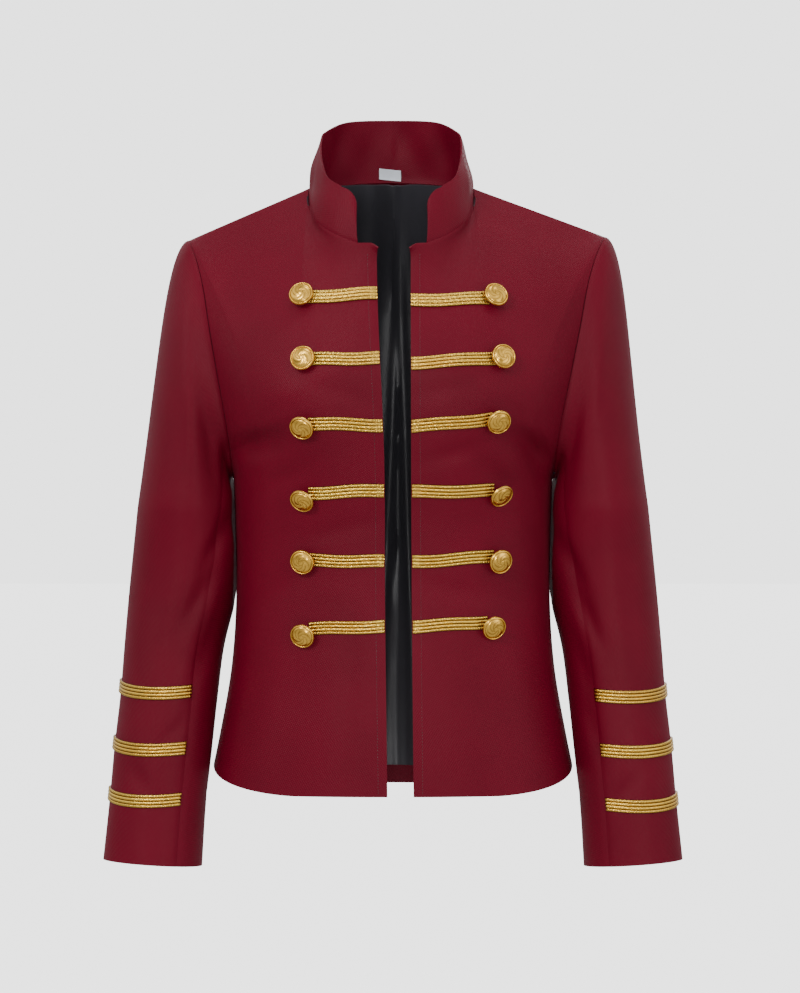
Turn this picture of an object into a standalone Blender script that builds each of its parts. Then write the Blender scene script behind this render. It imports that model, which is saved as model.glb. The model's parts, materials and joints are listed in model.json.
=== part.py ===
"""A military style jacket, hollow and filled out as if it were worn.

Metres, +Z up, the front faces -Y, and "right" and "left" are the wearer's own. The origin is the middle
of the neck opening, at the height of the two neck points where the shoulder seams start. Every cloth
piece is a thin wall over a grid of points that is worked out from the tables of sections below.
"""

import math
from collections import namedtuple

import bmesh
import bpy
import numpy as np
from mathutils import Vector
from mathutils.bvhtree import BVHTree

# Cloth and seams.
WALL = 0.002
LINING_WALL = 0.001
SEAM_GAP = 0.0003
HALF_GAP = SEAM_GAP / 2
SHARP_FROM = math.radians(40)
ARMHOLE_GAP = 0.0008
SLEEVE_SEAM_IN = 0.0004
COLLAR_GAP = 0.0006

# The body, from the hem up. Above the underarm the half width follows the armhole instead.
Section = namedtuple("Section", "name z half_width front back squareness")
SECTIONS = (
    Section("hem", -0.595, 0.1825, 0.106, 0.098, 2.25),
    Section("hip", -0.535, 0.1700, 0.108, 0.100, 2.25),
    Section("high hip", -0.475, 0.1595, 0.107, 0.096, 2.25),
    Section("waist", -0.405, 0.1545, 0.104, 0.088, 2.3),
    Section("under bust", -0.335, 0.1555, 0.108, 0.092, 2.35),
    Section("underarm", -0.285, 0.1570, 0.117, 0.100, 2.4),
    Section("bust", -0.225, 0.1570, 0.124, 0.108, 2.4),
    Section("chest", -0.140, 0.1570, 0.124, 0.112, 2.4),
    Section("top", 0.035, 0.1570, 0.124, 0.112, 2.4),
)
UNDERARM_Z = -0.285
UNDERARM_X = 0.157
SHOULDER_ROLL = 0.20
TURN_BELOW = 0.04
UNDERARM_SPREAD, SPREAD_FROM, SPREAD_FULL = 0.765, 0.45, 0.75
WALKED_SHARE = 0.35
TOP_BLEND = 0.10
FRONT_ROLL_POWER = 1.5
BACK_ROLL_POWER = 2.0
BUST_X, BUST_Z, BUST_SPREAD, BUST_RISE = 0.082, -0.215, 0.060, 0.009
HEM_Z = -0.593
HEM_RISE = 0.028
HEM_RISE_START = 1 / 3
HEM_RISE_POWER = 1.6

# Each side of the body: where its neck point and its shoulder point are, and its front edge.
Side = namedtuple("Side", "name sign neck_x shoulder_x shoulder_z edge_top edge_chest edge_hem")
SIDES = (
    Side("right", -1, 0.0830, 0.2010, -0.0510, 0.0155, 0.0085, 0.0052),
    Side("left", 1, 0.0795, 0.2085, -0.0475, 0.0172, 0.0174, 0.0200),
)
EDGE_CHEST_Z = -0.23

# The armhole: how far it has come in from the shoulder point, by how far down it is.
ARMHOLE_DOWN = (0.0, 0.08, 0.16, 0.39, 0.59, 0.735, 0.88, 1.0)
ARMHOLE_IN = (0.0, 0.17, 0.29, 0.51, 0.70, 0.84, 0.95, 1.0)
ARMHOLE_FRONT, ARMHOLE_BACK, ARMHOLE_EGG = 0.058, 0.062, 0.25
ARMHOLE_MOST = 0.75
ARMHOLE_TOP_FROM, ARMHOLE_TOP_LEAST = 0.7, 0.6

# The neckline, from the front end of the collar to the centre of the back; x is a share of neck_x.
# "collar" is the collar's height there, and "lean" is how far its top leans in.
Neck = namedtuple("Neck", "name share_x y z collar lean")
NECKLINE = (
    Neck("collar end", 0.415, -0.0775, -0.0585, 0.0500, 0.0120),
    Neck("front", 0.700, -0.0675, -0.0490, 0.0475, 0.0120),
    Neck("front side", 0.910, -0.0490, -0.0360, 0.0450, 0.0120),
    Neck("side front", 0.985, -0.0270, -0.0190, 0.0435, 0.0118),
    Neck("neck point", 1.000, 0.0000, 0.0000, 0.0445, 0.0115),
    Neck("side back", 0.930, 0.0205, 0.0015, 0.0540, 0.0105),
    Neck("back", 0.610, 0.0455, 0.0070, 0.0610, 0.0100),
    Neck("centre back", 0.000, 0.0600, 0.0105, 0.0605, 0.0100),
)
NECK_POINT_ROW = 4
NOTCH_Z = -0.0592
NOTCH_CORNER = 0.006

# The collar, besides the columns of the neckline.
COLLAR_END_LEAN = 0.005
COLLAR_CORNER = 0.014
COLLAR_BOW = 0.006
COLLAR_END_REACH = 0.03
COLLAR_CORNER_STEPS = (0.18, 0.55)

# The sleeve, from the upper arm to the cuff: x from the body's middle, and the middle and half of its depth.
Ring = namedtuple("Ring", "name z outer inner centre_y half_depth")
SLEEVE = (
    Ring("upper arm", -0.315, 0.2520, 0.1480, 0.004, 0.066),
    Ring("above elbow", -0.360, 0.2566, 0.1470, 0.006, 0.062),
    Ring("elbow", -0.400, 0.2605, 0.1540, 0.005, 0.059),
    Ring("below elbow", -0.450, 0.2646, 0.1662, 0.000, 0.055),
    Ring("forearm", -0.500, 0.2681, 0.1725, -0.008, 0.051),
    Ring("low forearm", -0.550, 0.2733, 0.1777, -0.016, 0.047),
    Ring("wrist", -0.600, 0.2774, 0.1830, -0.023, 0.043),
    Ring("cuff", -0.662, 0.2836, 0.1868, -0.028, 0.041),
)
CUFF_TILT = 0.066
SLEEVE_CLEAR = 0.0030
SLEEVE_MIDDLE_X = 0.215
# The sleeve's head: how far it reaches straight out of the armhole, and which way, before it turns down.
HEAD_REACH, HEAD_REACH_TOP, HEAD_REACH_SIDE = 0.006, 0.017, 0.010
HEAD_OUT_SIDE, HEAD_OUT_DOWN = 0.25, 0.3
HEAD_RISE, HEAD_RISE_IN = 0.55, 0.145
# The angles of the sleeve's two seams, at the armhole, at the upper arm and from there down.
FRONT_SEAM = np.radians((150, 131, 124, 122, 122, 122, 122, 122, 122))
BACK_SEAM = np.radians((240, 246, 250, 250, 250, 250, 250, 250, 250))

# The largest soft troughs in the fronts and the back: middle, direction, half length, half width, depth.
Fold = namedtuple("Fold", "face sign x z run_x run_z half_length half_width depth")
FOLDS = (
    Fold(-1, -1, 0.132, -0.262, -0.90, 0.30, 0.045, 0.014, 0.0035),
    Fold(-1, 1, 0.138, -0.262, -0.80, 0.45, 0.045, 0.015, 0.0040),
    Fold(-1, 1, 0.142, -0.325, 0.25, -0.97, 0.045, 0.013, 0.0030),
    Fold(1, -1, 0.125, -0.300, -0.80, -0.55, 0.060, 0.016, 0.0030),
    Fold(1, 1, 0.120, -0.290, -0.85, -0.45, 0.060, 0.016, 0.0030),
    Fold(1, 1, 0.060, -0.395, -0.97, -0.15, 0.070, 0.016, 0.0025),
    Fold(1, -1, 0.070, -0.420, -0.95, 0.20, 0.060, 0.015, 0.0025),
)

# Buttons and braid. Each chest row: the height and place of its button, and the braid's height at both ends.
Row = namedtuple("Row", "button_x button_z braid_edge_z braid_button_z")
CHEST_ROWS = {
    "right": (
        Row(0.0865, -0.1125, -0.1090, -0.1125),
        Row(0.0845, -0.1740, -0.1720, -0.1733),
        Row(0.0850, -0.2370, -0.2360, -0.2345),
        Row(0.0850, -0.3070, -0.2985, -0.3010),
        Row(0.0850, -0.3665, -0.3665, -0.3655),
        Row(0.0850, -0.4385, -0.4290, -0.4320),
    ),
    "left": (
        Row(0.0970, -0.1130, -0.1155, -0.1135),
        Row(0.1035, -0.1720, -0.1765, -0.1715),
        Row(0.0990, -0.2310, -0.2370, -0.2295),
        Row(0.1010, -0.3030, -0.2995, -0.2985),
        Row(0.1010, -0.3665, -0.3665, -0.3620),
        Row(0.0950, -0.4310, -0.4290, -0.4250),
    ),
}
BRAID_WIDTH = 0.0130
BRAID_WALL = 0.0010
BRAID_RIB = 0.0005
BRAID_ACROSS = 6
BRAID_UNDER_BUTTON = 0.004
BRAID_CLEAR = 0.0011
CUFF_BRAID_CLEAR = 0.0006
BRAID_END_IN = 0.0025
CHEST_BRAID_STEPS = 8
CUFF_BRAID_IN = 0.03
BUTTON_STEPS = 14
CUFF_BRAIDS = {"right": (-0.4920, -0.5470, -0.5965), "left": (-0.4959, -0.5489, -0.6016)}
CUFF_BRAID_DIP = 0.0045
CUFF_BRAID_TILT = 0.0026
AIM_FROM = 0.03
BUTTON_RADIUS = 0.0122
BUTTON_EDGE = 0.0015
BUTTON_DOME = 0.0042
BUTTON_STAND = 0.0062
BUTTON_CLEAR = 0.0005
# The button's domed top: share of its radius, share of its rise.
BUTTON_CROWN = ((0, 1), (0.42, 0.93), (0.80, 0.62))
RIM_IN = 0.93
SHANK_RADIUS = 0.0024
BUTTON_MERGE = 0.00005

# The label at the collar seam.
LABEL_X, LABEL_WIDTH, LABEL_HEIGHT, LABEL_RISE, LABEL_TILT = -0.003, 0.022, 0.0110, 0.0012, 0.10
LABEL_CLEAR = 0.0008

# The lining hangs this far inside the back and stops this far above its hem.
LINING_IN, LINING_ABOVE_HEM, LINING_EDGE_IN = 0.003, 0.012, 0.003
LINING_SIDE_COLUMNS = 3

# How finely the walls are drawn.
BODY_ROWS = 16
ROW_CROWDING = 1.6
NECK_STEPS, SHOULDER_STEPS, ARMHOLE_STEPS = 4, 3, 6
HEAD_ROWS, UPPER_STEPS, UNDER_STEPS = 6, 18, 6
COLLAR_ROWS = 4

FROM_FRONT = Vector((0, 1, 0))

RED = (0.155, 0.010, 0.018)
BLACK = (0.012, 0.012, 0.014)
GOLD = (0.62, 0.42, 0.13)
WHITE = (0.72, 0.76, 0.84)


def smooth(at, knots, values):
    """A smooth curve through the rows of a table, held at its ends."""
    knots = np.asarray(knots, float)
    values = np.asarray(values, float)
    slopes = np.gradient(values, knots, axis=0)
    at = np.clip(np.asarray(at, float), knots[0], knots[-1])
    low = np.clip(np.searchsorted(knots, at, side="right") - 1, 0, len(knots) - 2)
    step = knots[low + 1] - knots[low]
    t = (at - knots[low]) / step
    if values.ndim > 1:
        t, step = t[..., None], step[..., None]
    start = (1 + 2 * t) * (1 - t) ** 2 * values[low] + t * (1 - t) ** 2 * step * slopes[low]
    end = t * t * (3 - 2 * t) * values[low + 1] - t * t * (1 - t) * step * slopes[low + 1]
    return start + end


def section(z):
    """The half width, front depth, back depth and squareness of the body at this height."""
    heights = [row.z for row in SECTIONS]
    sizes = [(row.half_width, row.front, row.back, row.squareness) for row in SECTIONS]
    found = smooth(z, heights, sizes)
    return found[..., 0], found[..., 1], found[..., 2], found[..., 3]


def shoulder_height(side, x):
    """The height of the shoulder seam's line, which runs on over the neck opening."""
    along = (x - side.neck_x) / (side.shoulder_x - side.neck_x)
    return side.shoulder_z * along


def armhole_x(side, z):
    """How far out the armhole seam is at this height."""
    down = (side.shoulder_z - z) / (side.shoulder_z - UNDERARM_Z)
    return side.shoulder_x - (side.shoulder_x - UNDERARM_X) * smooth(down, ARMHOLE_DOWN, ARMHOLE_IN)


def rolled(side, x, z, face):
    """From 0 on the shoulder seam to 1 on the chest: how far the cloth has come over the shoulder."""
    power = np.where(face < 0, FRONT_ROLL_POWER, BACK_ROLL_POWER)
    down = np.clip((shoulder_height(side, x) - z) / SHOULDER_ROLL, 0, 1)
    return (1 - (1 - down) ** power) ** (1 / power)


def half_width(side, z, face):
    """The half width of the section; above the underarm, the one that takes it through the armhole."""
    table_width, front, back, square = section(z)
    middle = (side.shoulder_z + UNDERARM_Z) / 2
    half_height = (side.shoulder_z - UNDERARM_Z) / 2
    up = np.clip((z - middle) / half_height, -1, 1)
    widest = np.where(face < 0, ARMHOLE_FRONT, ARMHOLE_BACK)
    egg = widest * np.sqrt(1 - up * up) * (1 - ARMHOLE_EGG * up)
    seam_x = armhole_x(side, z)
    depth = np.where(face < 0, front, back)
    share = egg / np.maximum(depth * rolled(side, seam_x, z, face), 1e-6)
    least = np.where(up > ARMHOLE_TOP_FROM, ARMHOLE_TOP_LEAST, 0)
    share = np.clip(share, least, ARMHOLE_MOST)
    chest_width = seam_x / (1 - share**square) ** (1 / square)
    return np.where(z > UNDERARM_Z, chest_width, table_width)


def torso_y(side, x, z, face):
    """The body's surface: how far forward (face -1) or back (face 1) it is at x and z."""
    _, front, back, square = section(z)
    depth = np.where(face < 0, front, back)
    across = (1 - np.clip(x / half_width(side, z, face), 0, 1) ** square) ** (1 / square)
    over = rolled(side, x, z, face)
    bust = BUST_RISE * np.exp(-(((x - BUST_X) ** 2 + (z - BUST_Z) ** 2) / BUST_SPREAD**2))
    y = (depth * across + np.where(face < 0, bust * np.sqrt(across), 0)) * over
    for fold in FOLDS:
        along = (x - fold.x) * fold.run_x + (z - fold.z) * fold.run_z
        beside = (x - fold.x) * fold.run_z - (z - fold.z) * fold.run_x
        trough = np.exp(-((along / fold.half_length) ** 2) - (beside / fold.half_width) ** 2)
        here = (fold.face == face) & (fold.sign == side.sign)
        y = y - np.where(here, fold.depth * trough * np.sqrt(across), 0)
    return face * y


def front_edge(side, z):
    """How far the front edge is from the middle."""
    heights = (HEM_Z, (HEM_Z + EDGE_CHEST_Z) / 2, EDGE_CHEST_Z, NOTCH_Z)
    places = (side.edge_hem, (side.edge_hem + 2 * side.edge_chest) / 3, side.edge_chest, side.edge_top)
    return smooth(z, heights, places)


def neckline(side, t):
    """The neckline at t, counted in rows of its table: its points, the collar's height and its lean."""
    rows = np.array([(row.share_x * side.neck_x, *row[2:]) for row in NECKLINE])
    rows = np.vstack((rows, rows[-2] * (-1, 1, 1, 1, 1)))
    found = smooth(t, np.arange(len(rows)), rows)
    return found[..., :3], found[..., 3], found[..., 4]


def neck_steps(first, last):
    return np.linspace(first, last, NECK_STEPS + 2)


def armhole(side, angle):
    """The armhole seam; the angle is 0 at the shoulder, and the front is from 0 to pi."""
    middle = (side.shoulder_z + UNDERARM_Z) / 2
    half_height = (side.shoulder_z - UNDERARM_Z) / 2
    z = middle + half_height * np.cos(angle)
    x = armhole_x(side, z)
    face = np.where(np.sin(angle) >= 0, -1, 1)
    ends = np.abs(np.sin(angle)) < 1e-6
    y = np.where(ends, 0, torso_y(side, x, z, face))
    return np.stack((x, y, z), axis=-1)


def armhole_chords(side, angle):
    """The armhole as the panels have it, straight between the ends of their columns."""
    knot = np.pi / ARMHOLE_STEPS
    low = np.floor(angle / knot + 1e-9)
    share = (angle / knot - low)[:, None]
    return armhole(side, low * knot) * (1 - share) + armhole(side, (low + 1) * knot) * share


def top_boundary(side, face):
    """The top ends of a panel's columns, from the front edge or the middle of the back to the underarm."""
    if face < 0:
        edge = front_edge(side, NOTCH_Z)
        notch = np.array([(edge, 0, NOTCH_Z - NOTCH_CORNER), (edge + NOTCH_CORNER, 0, NOTCH_Z)])
        notch[:, 1] = torso_y(side, notch[:, 0], notch[:, 2], face)
        neck = np.vstack((notch, neckline(side, neck_steps(0, NECK_POINT_ROW))[0]))
    else:
        neck = neckline(side, neck_steps(len(NECKLINE) - 1, NECK_POINT_ROW))[0]
    xs = np.linspace(side.neck_x, side.shoulder_x, SHOULDER_STEPS + 1)[1:]
    shoulder = np.stack((xs, 0 * xs, shoulder_height(side, xs)), axis=-1)
    turn = np.pi * np.arange(1, ARMHOLE_STEPS + 1) / ARMHOLE_STEPS
    return np.vstack((neck, shoulder, armhole(side, turn * -face)))


def body_grid(side, face):
    """The half of a body panel on one side: rows from the hem up, columns from the middle to the side seam."""
    top = top_boundary(side, face)
    walk = np.r_[0, np.cumsum(np.linalg.norm(np.diff(top, axis=0), axis=1))]
    even = np.arange(len(top)) / (len(top) - 1)
    hem_share = WALKED_SHARE * walk / walk[-1] + (1 - WALKED_SHARE) * even
    side_share = np.clip((hem_share - HEM_RISE_START) / (1 - HEM_RISE_START), 0, 1)
    hem = HEM_Z + HEM_RISE * side_share**HEM_RISE_POWER
    v = np.arange(BODY_ROWS + 1)[:, None] / BODY_ROWS
    z = hem + (top[:, 2] - hem) * (1 - (1 - v) ** ROW_CROWDING)
    low_width = section(np.minimum(z, UNDERARM_Z))[0]
    turn_z = UNDERARM_Z - TURN_BELOW
    spread = 1 - (1 - hem_share) ** UNDERARM_SPREAD
    low_rise = np.clip((z - HEM_Z) / (turn_z - HEM_Z), 0, 1) ** 2
    outer_part = np.clip((hem_share - SPREAD_FROM) / (SPREAD_FULL - SPREAD_FROM), 0, 1)
    column_share = hem_share + (spread - hem_share) * low_rise * outer_part
    edge = front_edge(side, z) if face < 0 else 0 * z
    x = edge + (low_width - edge) * np.sin(np.pi / 2 * column_share)
    climb = np.clip((z - turn_z) / (top[:, 2] - turn_z), 0, 1) ** 2
    x = x + (top[:, 0] - x) * climb
    y = torso_y(side, x, z, face)
    miss = top[:, 1] - torso_y(side, top[:, 0], top[:, 2], face)
    near = np.clip(1 - (top[:, 2] - z) / TOP_BLEND, 0, 1)
    y = y + miss * near * near * (3 - 2 * near)
    points = np.stack((x, y, z), axis=-1)
    points[-1] = top
    points[..., 0] *= side.sign
    return points


def body_section_x(y, z):
    """How far out the body's side is at y, below the underarm."""
    width, front, back, square = section(z)
    depth = np.where(y < 0, front, back)
    return width * (1 - np.clip(np.abs(y) / depth, 0, 1) ** square) ** (1 / square)


def sleeve_ring(at, angle):
    """The sleeve's ring at a height of its table; the angle is 0 at the outside, and the front is from 0 to pi."""
    heights = [row.z for row in reversed(SLEEVE)]
    sizes = [(row.outer, row.inner, row.centre_y, row.half_depth) for row in reversed(SLEEVE)]
    outer, inner, centre_y, half_depth = smooth(np.array([at]), heights, sizes)[0]
    half = (outer - inner) / 2
    low = (SLEEVE[0].z - at) / (SLEEVE[0].z - SLEEVE[-1].z)
    x = (outer + inner) / 2 + half * np.cos(angle)
    y = centre_y - half_depth * np.sin(angle)
    z = at + CUFF_TILT * low * half * np.cos(angle)
    clear = body_section_x(y, z) + SLEEVE_CLEAR
    x = np.maximum(x, clear)
    return np.stack((x, y, z), axis=-1)


def head_row(side, angle, t):
    """A row of the sleeve's head: t runs from 0 at the armhole to 1 at the upper arm."""
    start = armhole_chords(side, angle)
    ring = sleeve_ring(SLEEVE[0].z, angle)
    upper = (1 + np.cos(angle)) / 2
    reach = HEAD_REACH + HEAD_REACH_TOP * upper + HEAD_REACH_SIDE * np.sin(angle) ** 2
    out = np.stack((np.ones_like(angle), -HEAD_OUT_SIDE * np.sin(angle), -HEAD_OUT_DOWN * upper), axis=-1)
    rise = np.stack((-HEAD_RISE_IN * upper, 0 * angle, np.ones_like(angle)), axis=-1)
    length = np.linalg.norm(start - ring, axis=1)
    first = start + out * reach[:, None]
    second = ring + rise * (HEAD_RISE * length)[:, None]
    start = start + out * ARMHOLE_GAP
    return (1 - t) ** 3 * start + 3 * t * (1 - t) ** 2 * first + 3 * t * t * (1 - t) * second + t**3 * ring


def seam_angles(row):
    """The angles of the front seam and the back seam; row 0 is the armhole, row 1 the upper arm."""
    rows = np.arange(len(FRONT_SEAM))
    return smooth(row, rows, FRONT_SEAM), smooth(row, rows, BACK_SEAM)


def sleeve_grid(side):
    """A whole sleeve: rows from the armhole down to the cuff, columns from the back seam round to it again."""
    rows = []
    for row in np.r_[np.arange(HEAD_ROWS) / HEAD_ROWS, np.arange(1, len(SLEEVE) + 1)]:
        front, back = seam_angles(row)
        upper = np.linspace(back - 2 * np.pi, front, UPPER_STEPS + 1)
        angle = np.r_[upper, np.linspace(front, back, UNDER_STEPS + 1)[1:]]
        rows.append(head_row(side, angle, row) if row < 1 else sleeve_ring(SLEEVE[int(row) - 1].z, angle))
    points = np.array(rows)
    points[..., 0] *= side.sign
    return points


def grid_mesh(name, points):
    """An open sheet of quads over a grid of points."""
    rows, columns = points.shape[:2]
    mesh = bpy.data.meshes.new(name)
    faces = []
    for i in range(rows - 1):
        for j in range(columns - 1):
            corner = i * columns + j
            faces.append((corner, corner + 1, corner + columns + 1, corner + columns))
    mesh.from_pydata([tuple(p) for p in points.reshape(-1, 3)], [], faces)
    mesh.update()
    return mesh


def out_of_cloth(points, outside, level_rows=(), level_columns=(), across_rows=()):
    """The way out of the cloth at each point of a grid.

    It has no Y where two panels meet on the Y plane, and no X in the rows that face a seam across X.
    """
    ways = np.cross(np.gradient(points, axis=0), np.gradient(points, axis=1))
    if (ways * outside(points)).sum() < 0:
        ways = -ways
    for row, columns in level_rows:
        ways[row, columns, 1] = 0
    for column in level_columns:
        ways[:, column, 1] = 0
    for row in across_rows:
        ways[row, :, 0] = 0
    return ways / np.linalg.norm(ways, axis=2)[..., None]


def wall_mesh(name, outer, inner):
    """A closed wall between two grids of points that lie opposite each other, cut the same way on both."""
    rows, columns = outer.shape[:2]
    index = np.arange(rows * columns).reshape(rows, columns)
    faces = []
    for i in range(rows - 1):
        for j in range(columns - 1):
            a, b, c, d = index[i, j], index[i, j + 1], index[i + 1, j + 1], index[i + 1, j]
            for face in ((a, b, c), (a, c, d)):
                faces += [face, tuple(k + rows * columns for k in reversed(face))]
    round_edge = [*index[0], *index[1:, -1], *index[-1, -2::-1], *index[-2:0:-1, 0]]
    for k, m in zip(round_edge, round_edge[1:] + round_edge[:1]):
        faces.append((m, k, k + rows * columns, m + rows * columns))
    mesh = bpy.data.meshes.new(name)
    points = np.concatenate((outer.reshape(-1, 3), inner.reshape(-1, 3)))
    mesh.from_pydata([tuple(p) for p in points], [], [tuple(int(k) for k in face) for face in faces])
    mesh.update()
    shape = bmesh.new()
    shape.from_mesh(mesh)
    bmesh.ops.recalc_face_normals(shape, faces=shape.faces)
    shape.to_mesh(mesh)
    shape.free()
    return mesh


def add_panel(name, points, ways, thickness, material, collection):
    """A cloth panel: the grid is its outside, and its inside lies a thickness in from it."""
    mesh = wall_mesh(name, points, points - ways * thickness)
    add(name, mesh, material, collection)
    mesh.set_sharp_from_angle(angle=SHARP_FROM)


def upright(x=0.0):
    """The level way out from an upright line at x, for a grid of points."""
    return lambda points: (points - (x, 0, 0)) * (1, 1, 0)


def face_outward(mesh, toward):
    """Turns the whole sheet over if its faces look away from the direction that toward() gives."""
    score = sum(polygon.normal.dot(toward(polygon.center)) for polygon in mesh.polygons)
    if score < 0:
        mesh.flip_normals()


def away_from(x, y):
    """The level direction away from an upright line."""
    return lambda point: Vector((point.x - x, point.y - y, 0)).normalized()


def add(name, mesh, material, collection):
    mesh.materials.append(material)
    mesh.shade_smooth()
    obj = bpy.data.objects.new(name, mesh)
    collection.objects.link(obj)
    return obj


def add_wall(name, mesh, thickness, material, collection):
    """A sheet given its thickness, out from its face."""
    obj = add(name, mesh, material, collection)
    wall = obj.modifiers.new("wall", "SOLIDIFY")
    wall.thickness = thickness
    wall.offset = 1
    wall.use_rim = True


def principled(name, colour, roughness, metallic=0.0):
    material = bpy.data.materials.new(name)
    material.use_nodes = True
    shader = material.node_tree.nodes["Principled BSDF"]
    shader.inputs["Base Color"].default_value = (*colour, 1)
    shader.inputs["Roughness"].default_value = roughness
    shader.inputs["Metallic"].default_value = metallic
    material.diffuse_color = (*colour, 1)
    return material


def inset(points, sides, distance):
    """The grid with its outermost rows or columns drawn in, so that it stays clear of what is sewn to it."""
    moved = points.copy()
    if "last column" in sides:
        step = points[:, -2] - points[:, -1]
        moved[:, -1] += step / np.linalg.norm(step, axis=1)[:, None] * distance
    if "first column" in sides:
        step = points[:, 1] - points[:, 0]
        moved[:, 0] += step / np.linalg.norm(step, axis=1)[:, None] * distance
    if "last row" in sides:
        step = points[-2] - points[-1]
        moved[-1] += step / np.linalg.norm(step, axis=1)[:, None] * distance
    if "first row" in sides:
        step = points[1] - points[0]
        moved[0] += step / np.linalg.norm(step, axis=1)[:, None] * distance
    return moved


def make_fronts(cloth, collection):
    neck = NECK_STEPS + 3
    for side in SIDES:
        points = inset(body_grid(side, -1), ("last column", "last row"), HALF_GAP)
        seam = slice(neck, neck + SHOULDER_STEPS + 1)
        ways = out_of_cloth(points, upright(), [(-1, seam)], [-1])
        add_panel(f"front_{side.name}", points, ways, WALL, cloth, collection)


def back_shape():
    """The whole back, from the right side seam to the left one, and the ways out of it."""
    right = body_grid(SIDES[0], 1)[:, ::-1]
    left = body_grid(SIDES[1], 1)[:, 1:]
    points = np.concatenate((right, left), axis=1)
    middle, neck = points.shape[1] // 2, NECK_STEPS + 1
    right_seam = slice(middle - neck - SHOULDER_STEPS, middle - neck + 1)
    left_seam = slice(middle + neck, middle + neck + SHOULDER_STEPS + 1)
    return points, out_of_cloth(points, upright(), [(-1, right_seam), (-1, left_seam)], [0, -1])


def make_back(cloth, collection):
    points, ways = back_shape()
    points = inset(points, ("first column", "last column", "last row"), HALF_GAP)
    add_panel("back", points, ways, WALL, cloth, collection)


def make_lining(lining, collection):
    """The back's lining, which stops above the hem and hangs just inside the cloth."""
    points, ways = (grid[:, LINING_SIDE_COLUMNS:-LINING_SIDE_COLUMNS] for grid in back_shape())
    points = points - ways * (WALL + LINING_IN)
    share = LINING_ABOVE_HEM / (points[1, :, 2] - points[0, :, 2])
    points[0] += (points[1] - points[0]) * share[:, None]
    points = inset(points, ("first column", "last column", "last row"), LINING_EDGE_IN)
    add_panel("lining_back", points, ways, LINING_WALL, lining, collection)


def collar_grid():
    """The collar's outside: rows from its seam up, columns from its right end round the back to its left end."""
    last = len(NECKLINE) - 1
    halves = []
    for side in SIDES:
        front = neck_steps(0, NECK_POINT_ROW)
        corner = front[1] * np.array(COLLAR_CORNER_STEPS)
        t = np.r_[0, corner, front[1:], neck_steps(NECK_POINT_ROW, last)[1:]]
        foot, height, lean = neckline(side, t)
        chord_end = foot[len(corner) + 1]
        foot[1 : len(corner) + 1] = foot[0] + (chord_end - foot[0]) * np.array(COLLAR_CORNER_STEPS)[:, None]
        walk = np.r_[0, np.cumsum(np.linalg.norm(np.diff(foot, axis=0), axis=1))]
        round_off = np.clip(1 - walk / COLLAR_CORNER, 0, 1)
        height = height - COLLAR_CORNER * (1 - np.sqrt(1 - round_off**2))
        along = np.gradient(neckline(side, t)[0], t, axis=0)
        inward = np.stack((-along[:, 1], along[:, 0], 0 * t), axis=-1)
        inward /= np.linalg.norm(inward, axis=1)[:, None]
        end_lean = COLLAR_END_LEAN * np.clip(1 - walk / COLLAR_END_REACH, 0, 1)
        top = foot + inward * lean[:, None] + np.stack((end_lean, 0 * t, height), axis=-1)
        bottom = foot + (0, 0, COLLAR_GAP)
        rise = np.linspace(0, 1, COLLAR_ROWS + 1)[:, None, None]
        half = bottom + (top - bottom) * rise - inward * rise * (1 - rise) * COLLAR_BOW
        half[..., 0] *= side.sign
        halves.append(half)
    return np.concatenate((halves[0], halves[1][:, -2::-1]), axis=1)


def make_collar(cloth, collection):
    points = collar_grid()
    add_panel("collar", points, out_of_cloth(points, upright()), WALL, cloth, collection)


def make_label(white, collection):
    """A small blank label that stands inside the collar, just above its seam at the back."""
    tree = surface_of("collar")
    xs = LABEL_X + LABEL_WIDTH * np.linspace(-0.5, 0.5, 5)
    rows = []
    for rise in np.linspace(0, 1, 3):
        row = []
        for x in xs:
            z = NECKLINE[-1].z + LABEL_RISE + LABEL_HEIGHT * rise + LABEL_TILT * (LABEL_X - x)
            row.append(laid(tree, Vector((x, 0, z)), FROM_FRONT, LABEL_CLEAR)[0])
        rows.append(row)
    mesh = grid_mesh("label", np.array(rows))
    face_outward(mesh, lambda point: Vector((0, -1, 0)))
    add_wall("label", mesh, LINING_WALL, white, collection)


def make_sleeves(cloth, collection):
    for side in SIDES:
        tube = sleeve_grid(side)
        round_twice = np.concatenate((tube[:, -2:-1], tube, tube[:, 1:2]), axis=1)
        ways = out_of_cloth(round_twice, upright(side.sign * SLEEVE_MIDDLE_X), across_rows=[0])[:, 1:-1]
        for name, columns in (("upper", slice(0, UPPER_STEPS + 1)), ("under", slice(UPPER_STEPS, None))):
            points = inset(tube[:, columns], ("first column", "last column"), SLEEVE_SEAM_IN)
            add_panel(f"sleeve_{name}_{side.name}", points, ways[:, columns], WALL, cloth, collection)


def surface_of(name):
    """The finished wall of a piece, to lay other pieces on."""
    graph = bpy.context.evaluated_depsgraph_get()
    return BVHTree.FromObject(bpy.data.objects[name], graph)


def laid(tree, start, way, lift):
    """The point where a line meets the cloth, moved out of it by lift, and the cloth's way out there."""
    hit, normal, _, _ = tree.ray_cast(start, way)
    if hit is None:
        raise ValueError(f"nothing to lie on from {tuple(round(v, 4) for v in start)}")
    return hit + normal * lift, normal


def ribbed(across):
    """The height of the braid's ribs over its width, from 0 to 1."""
    return BRAID_RIB * (np.arange(BRAID_ACROSS + 1) % 2)[across]


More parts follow.
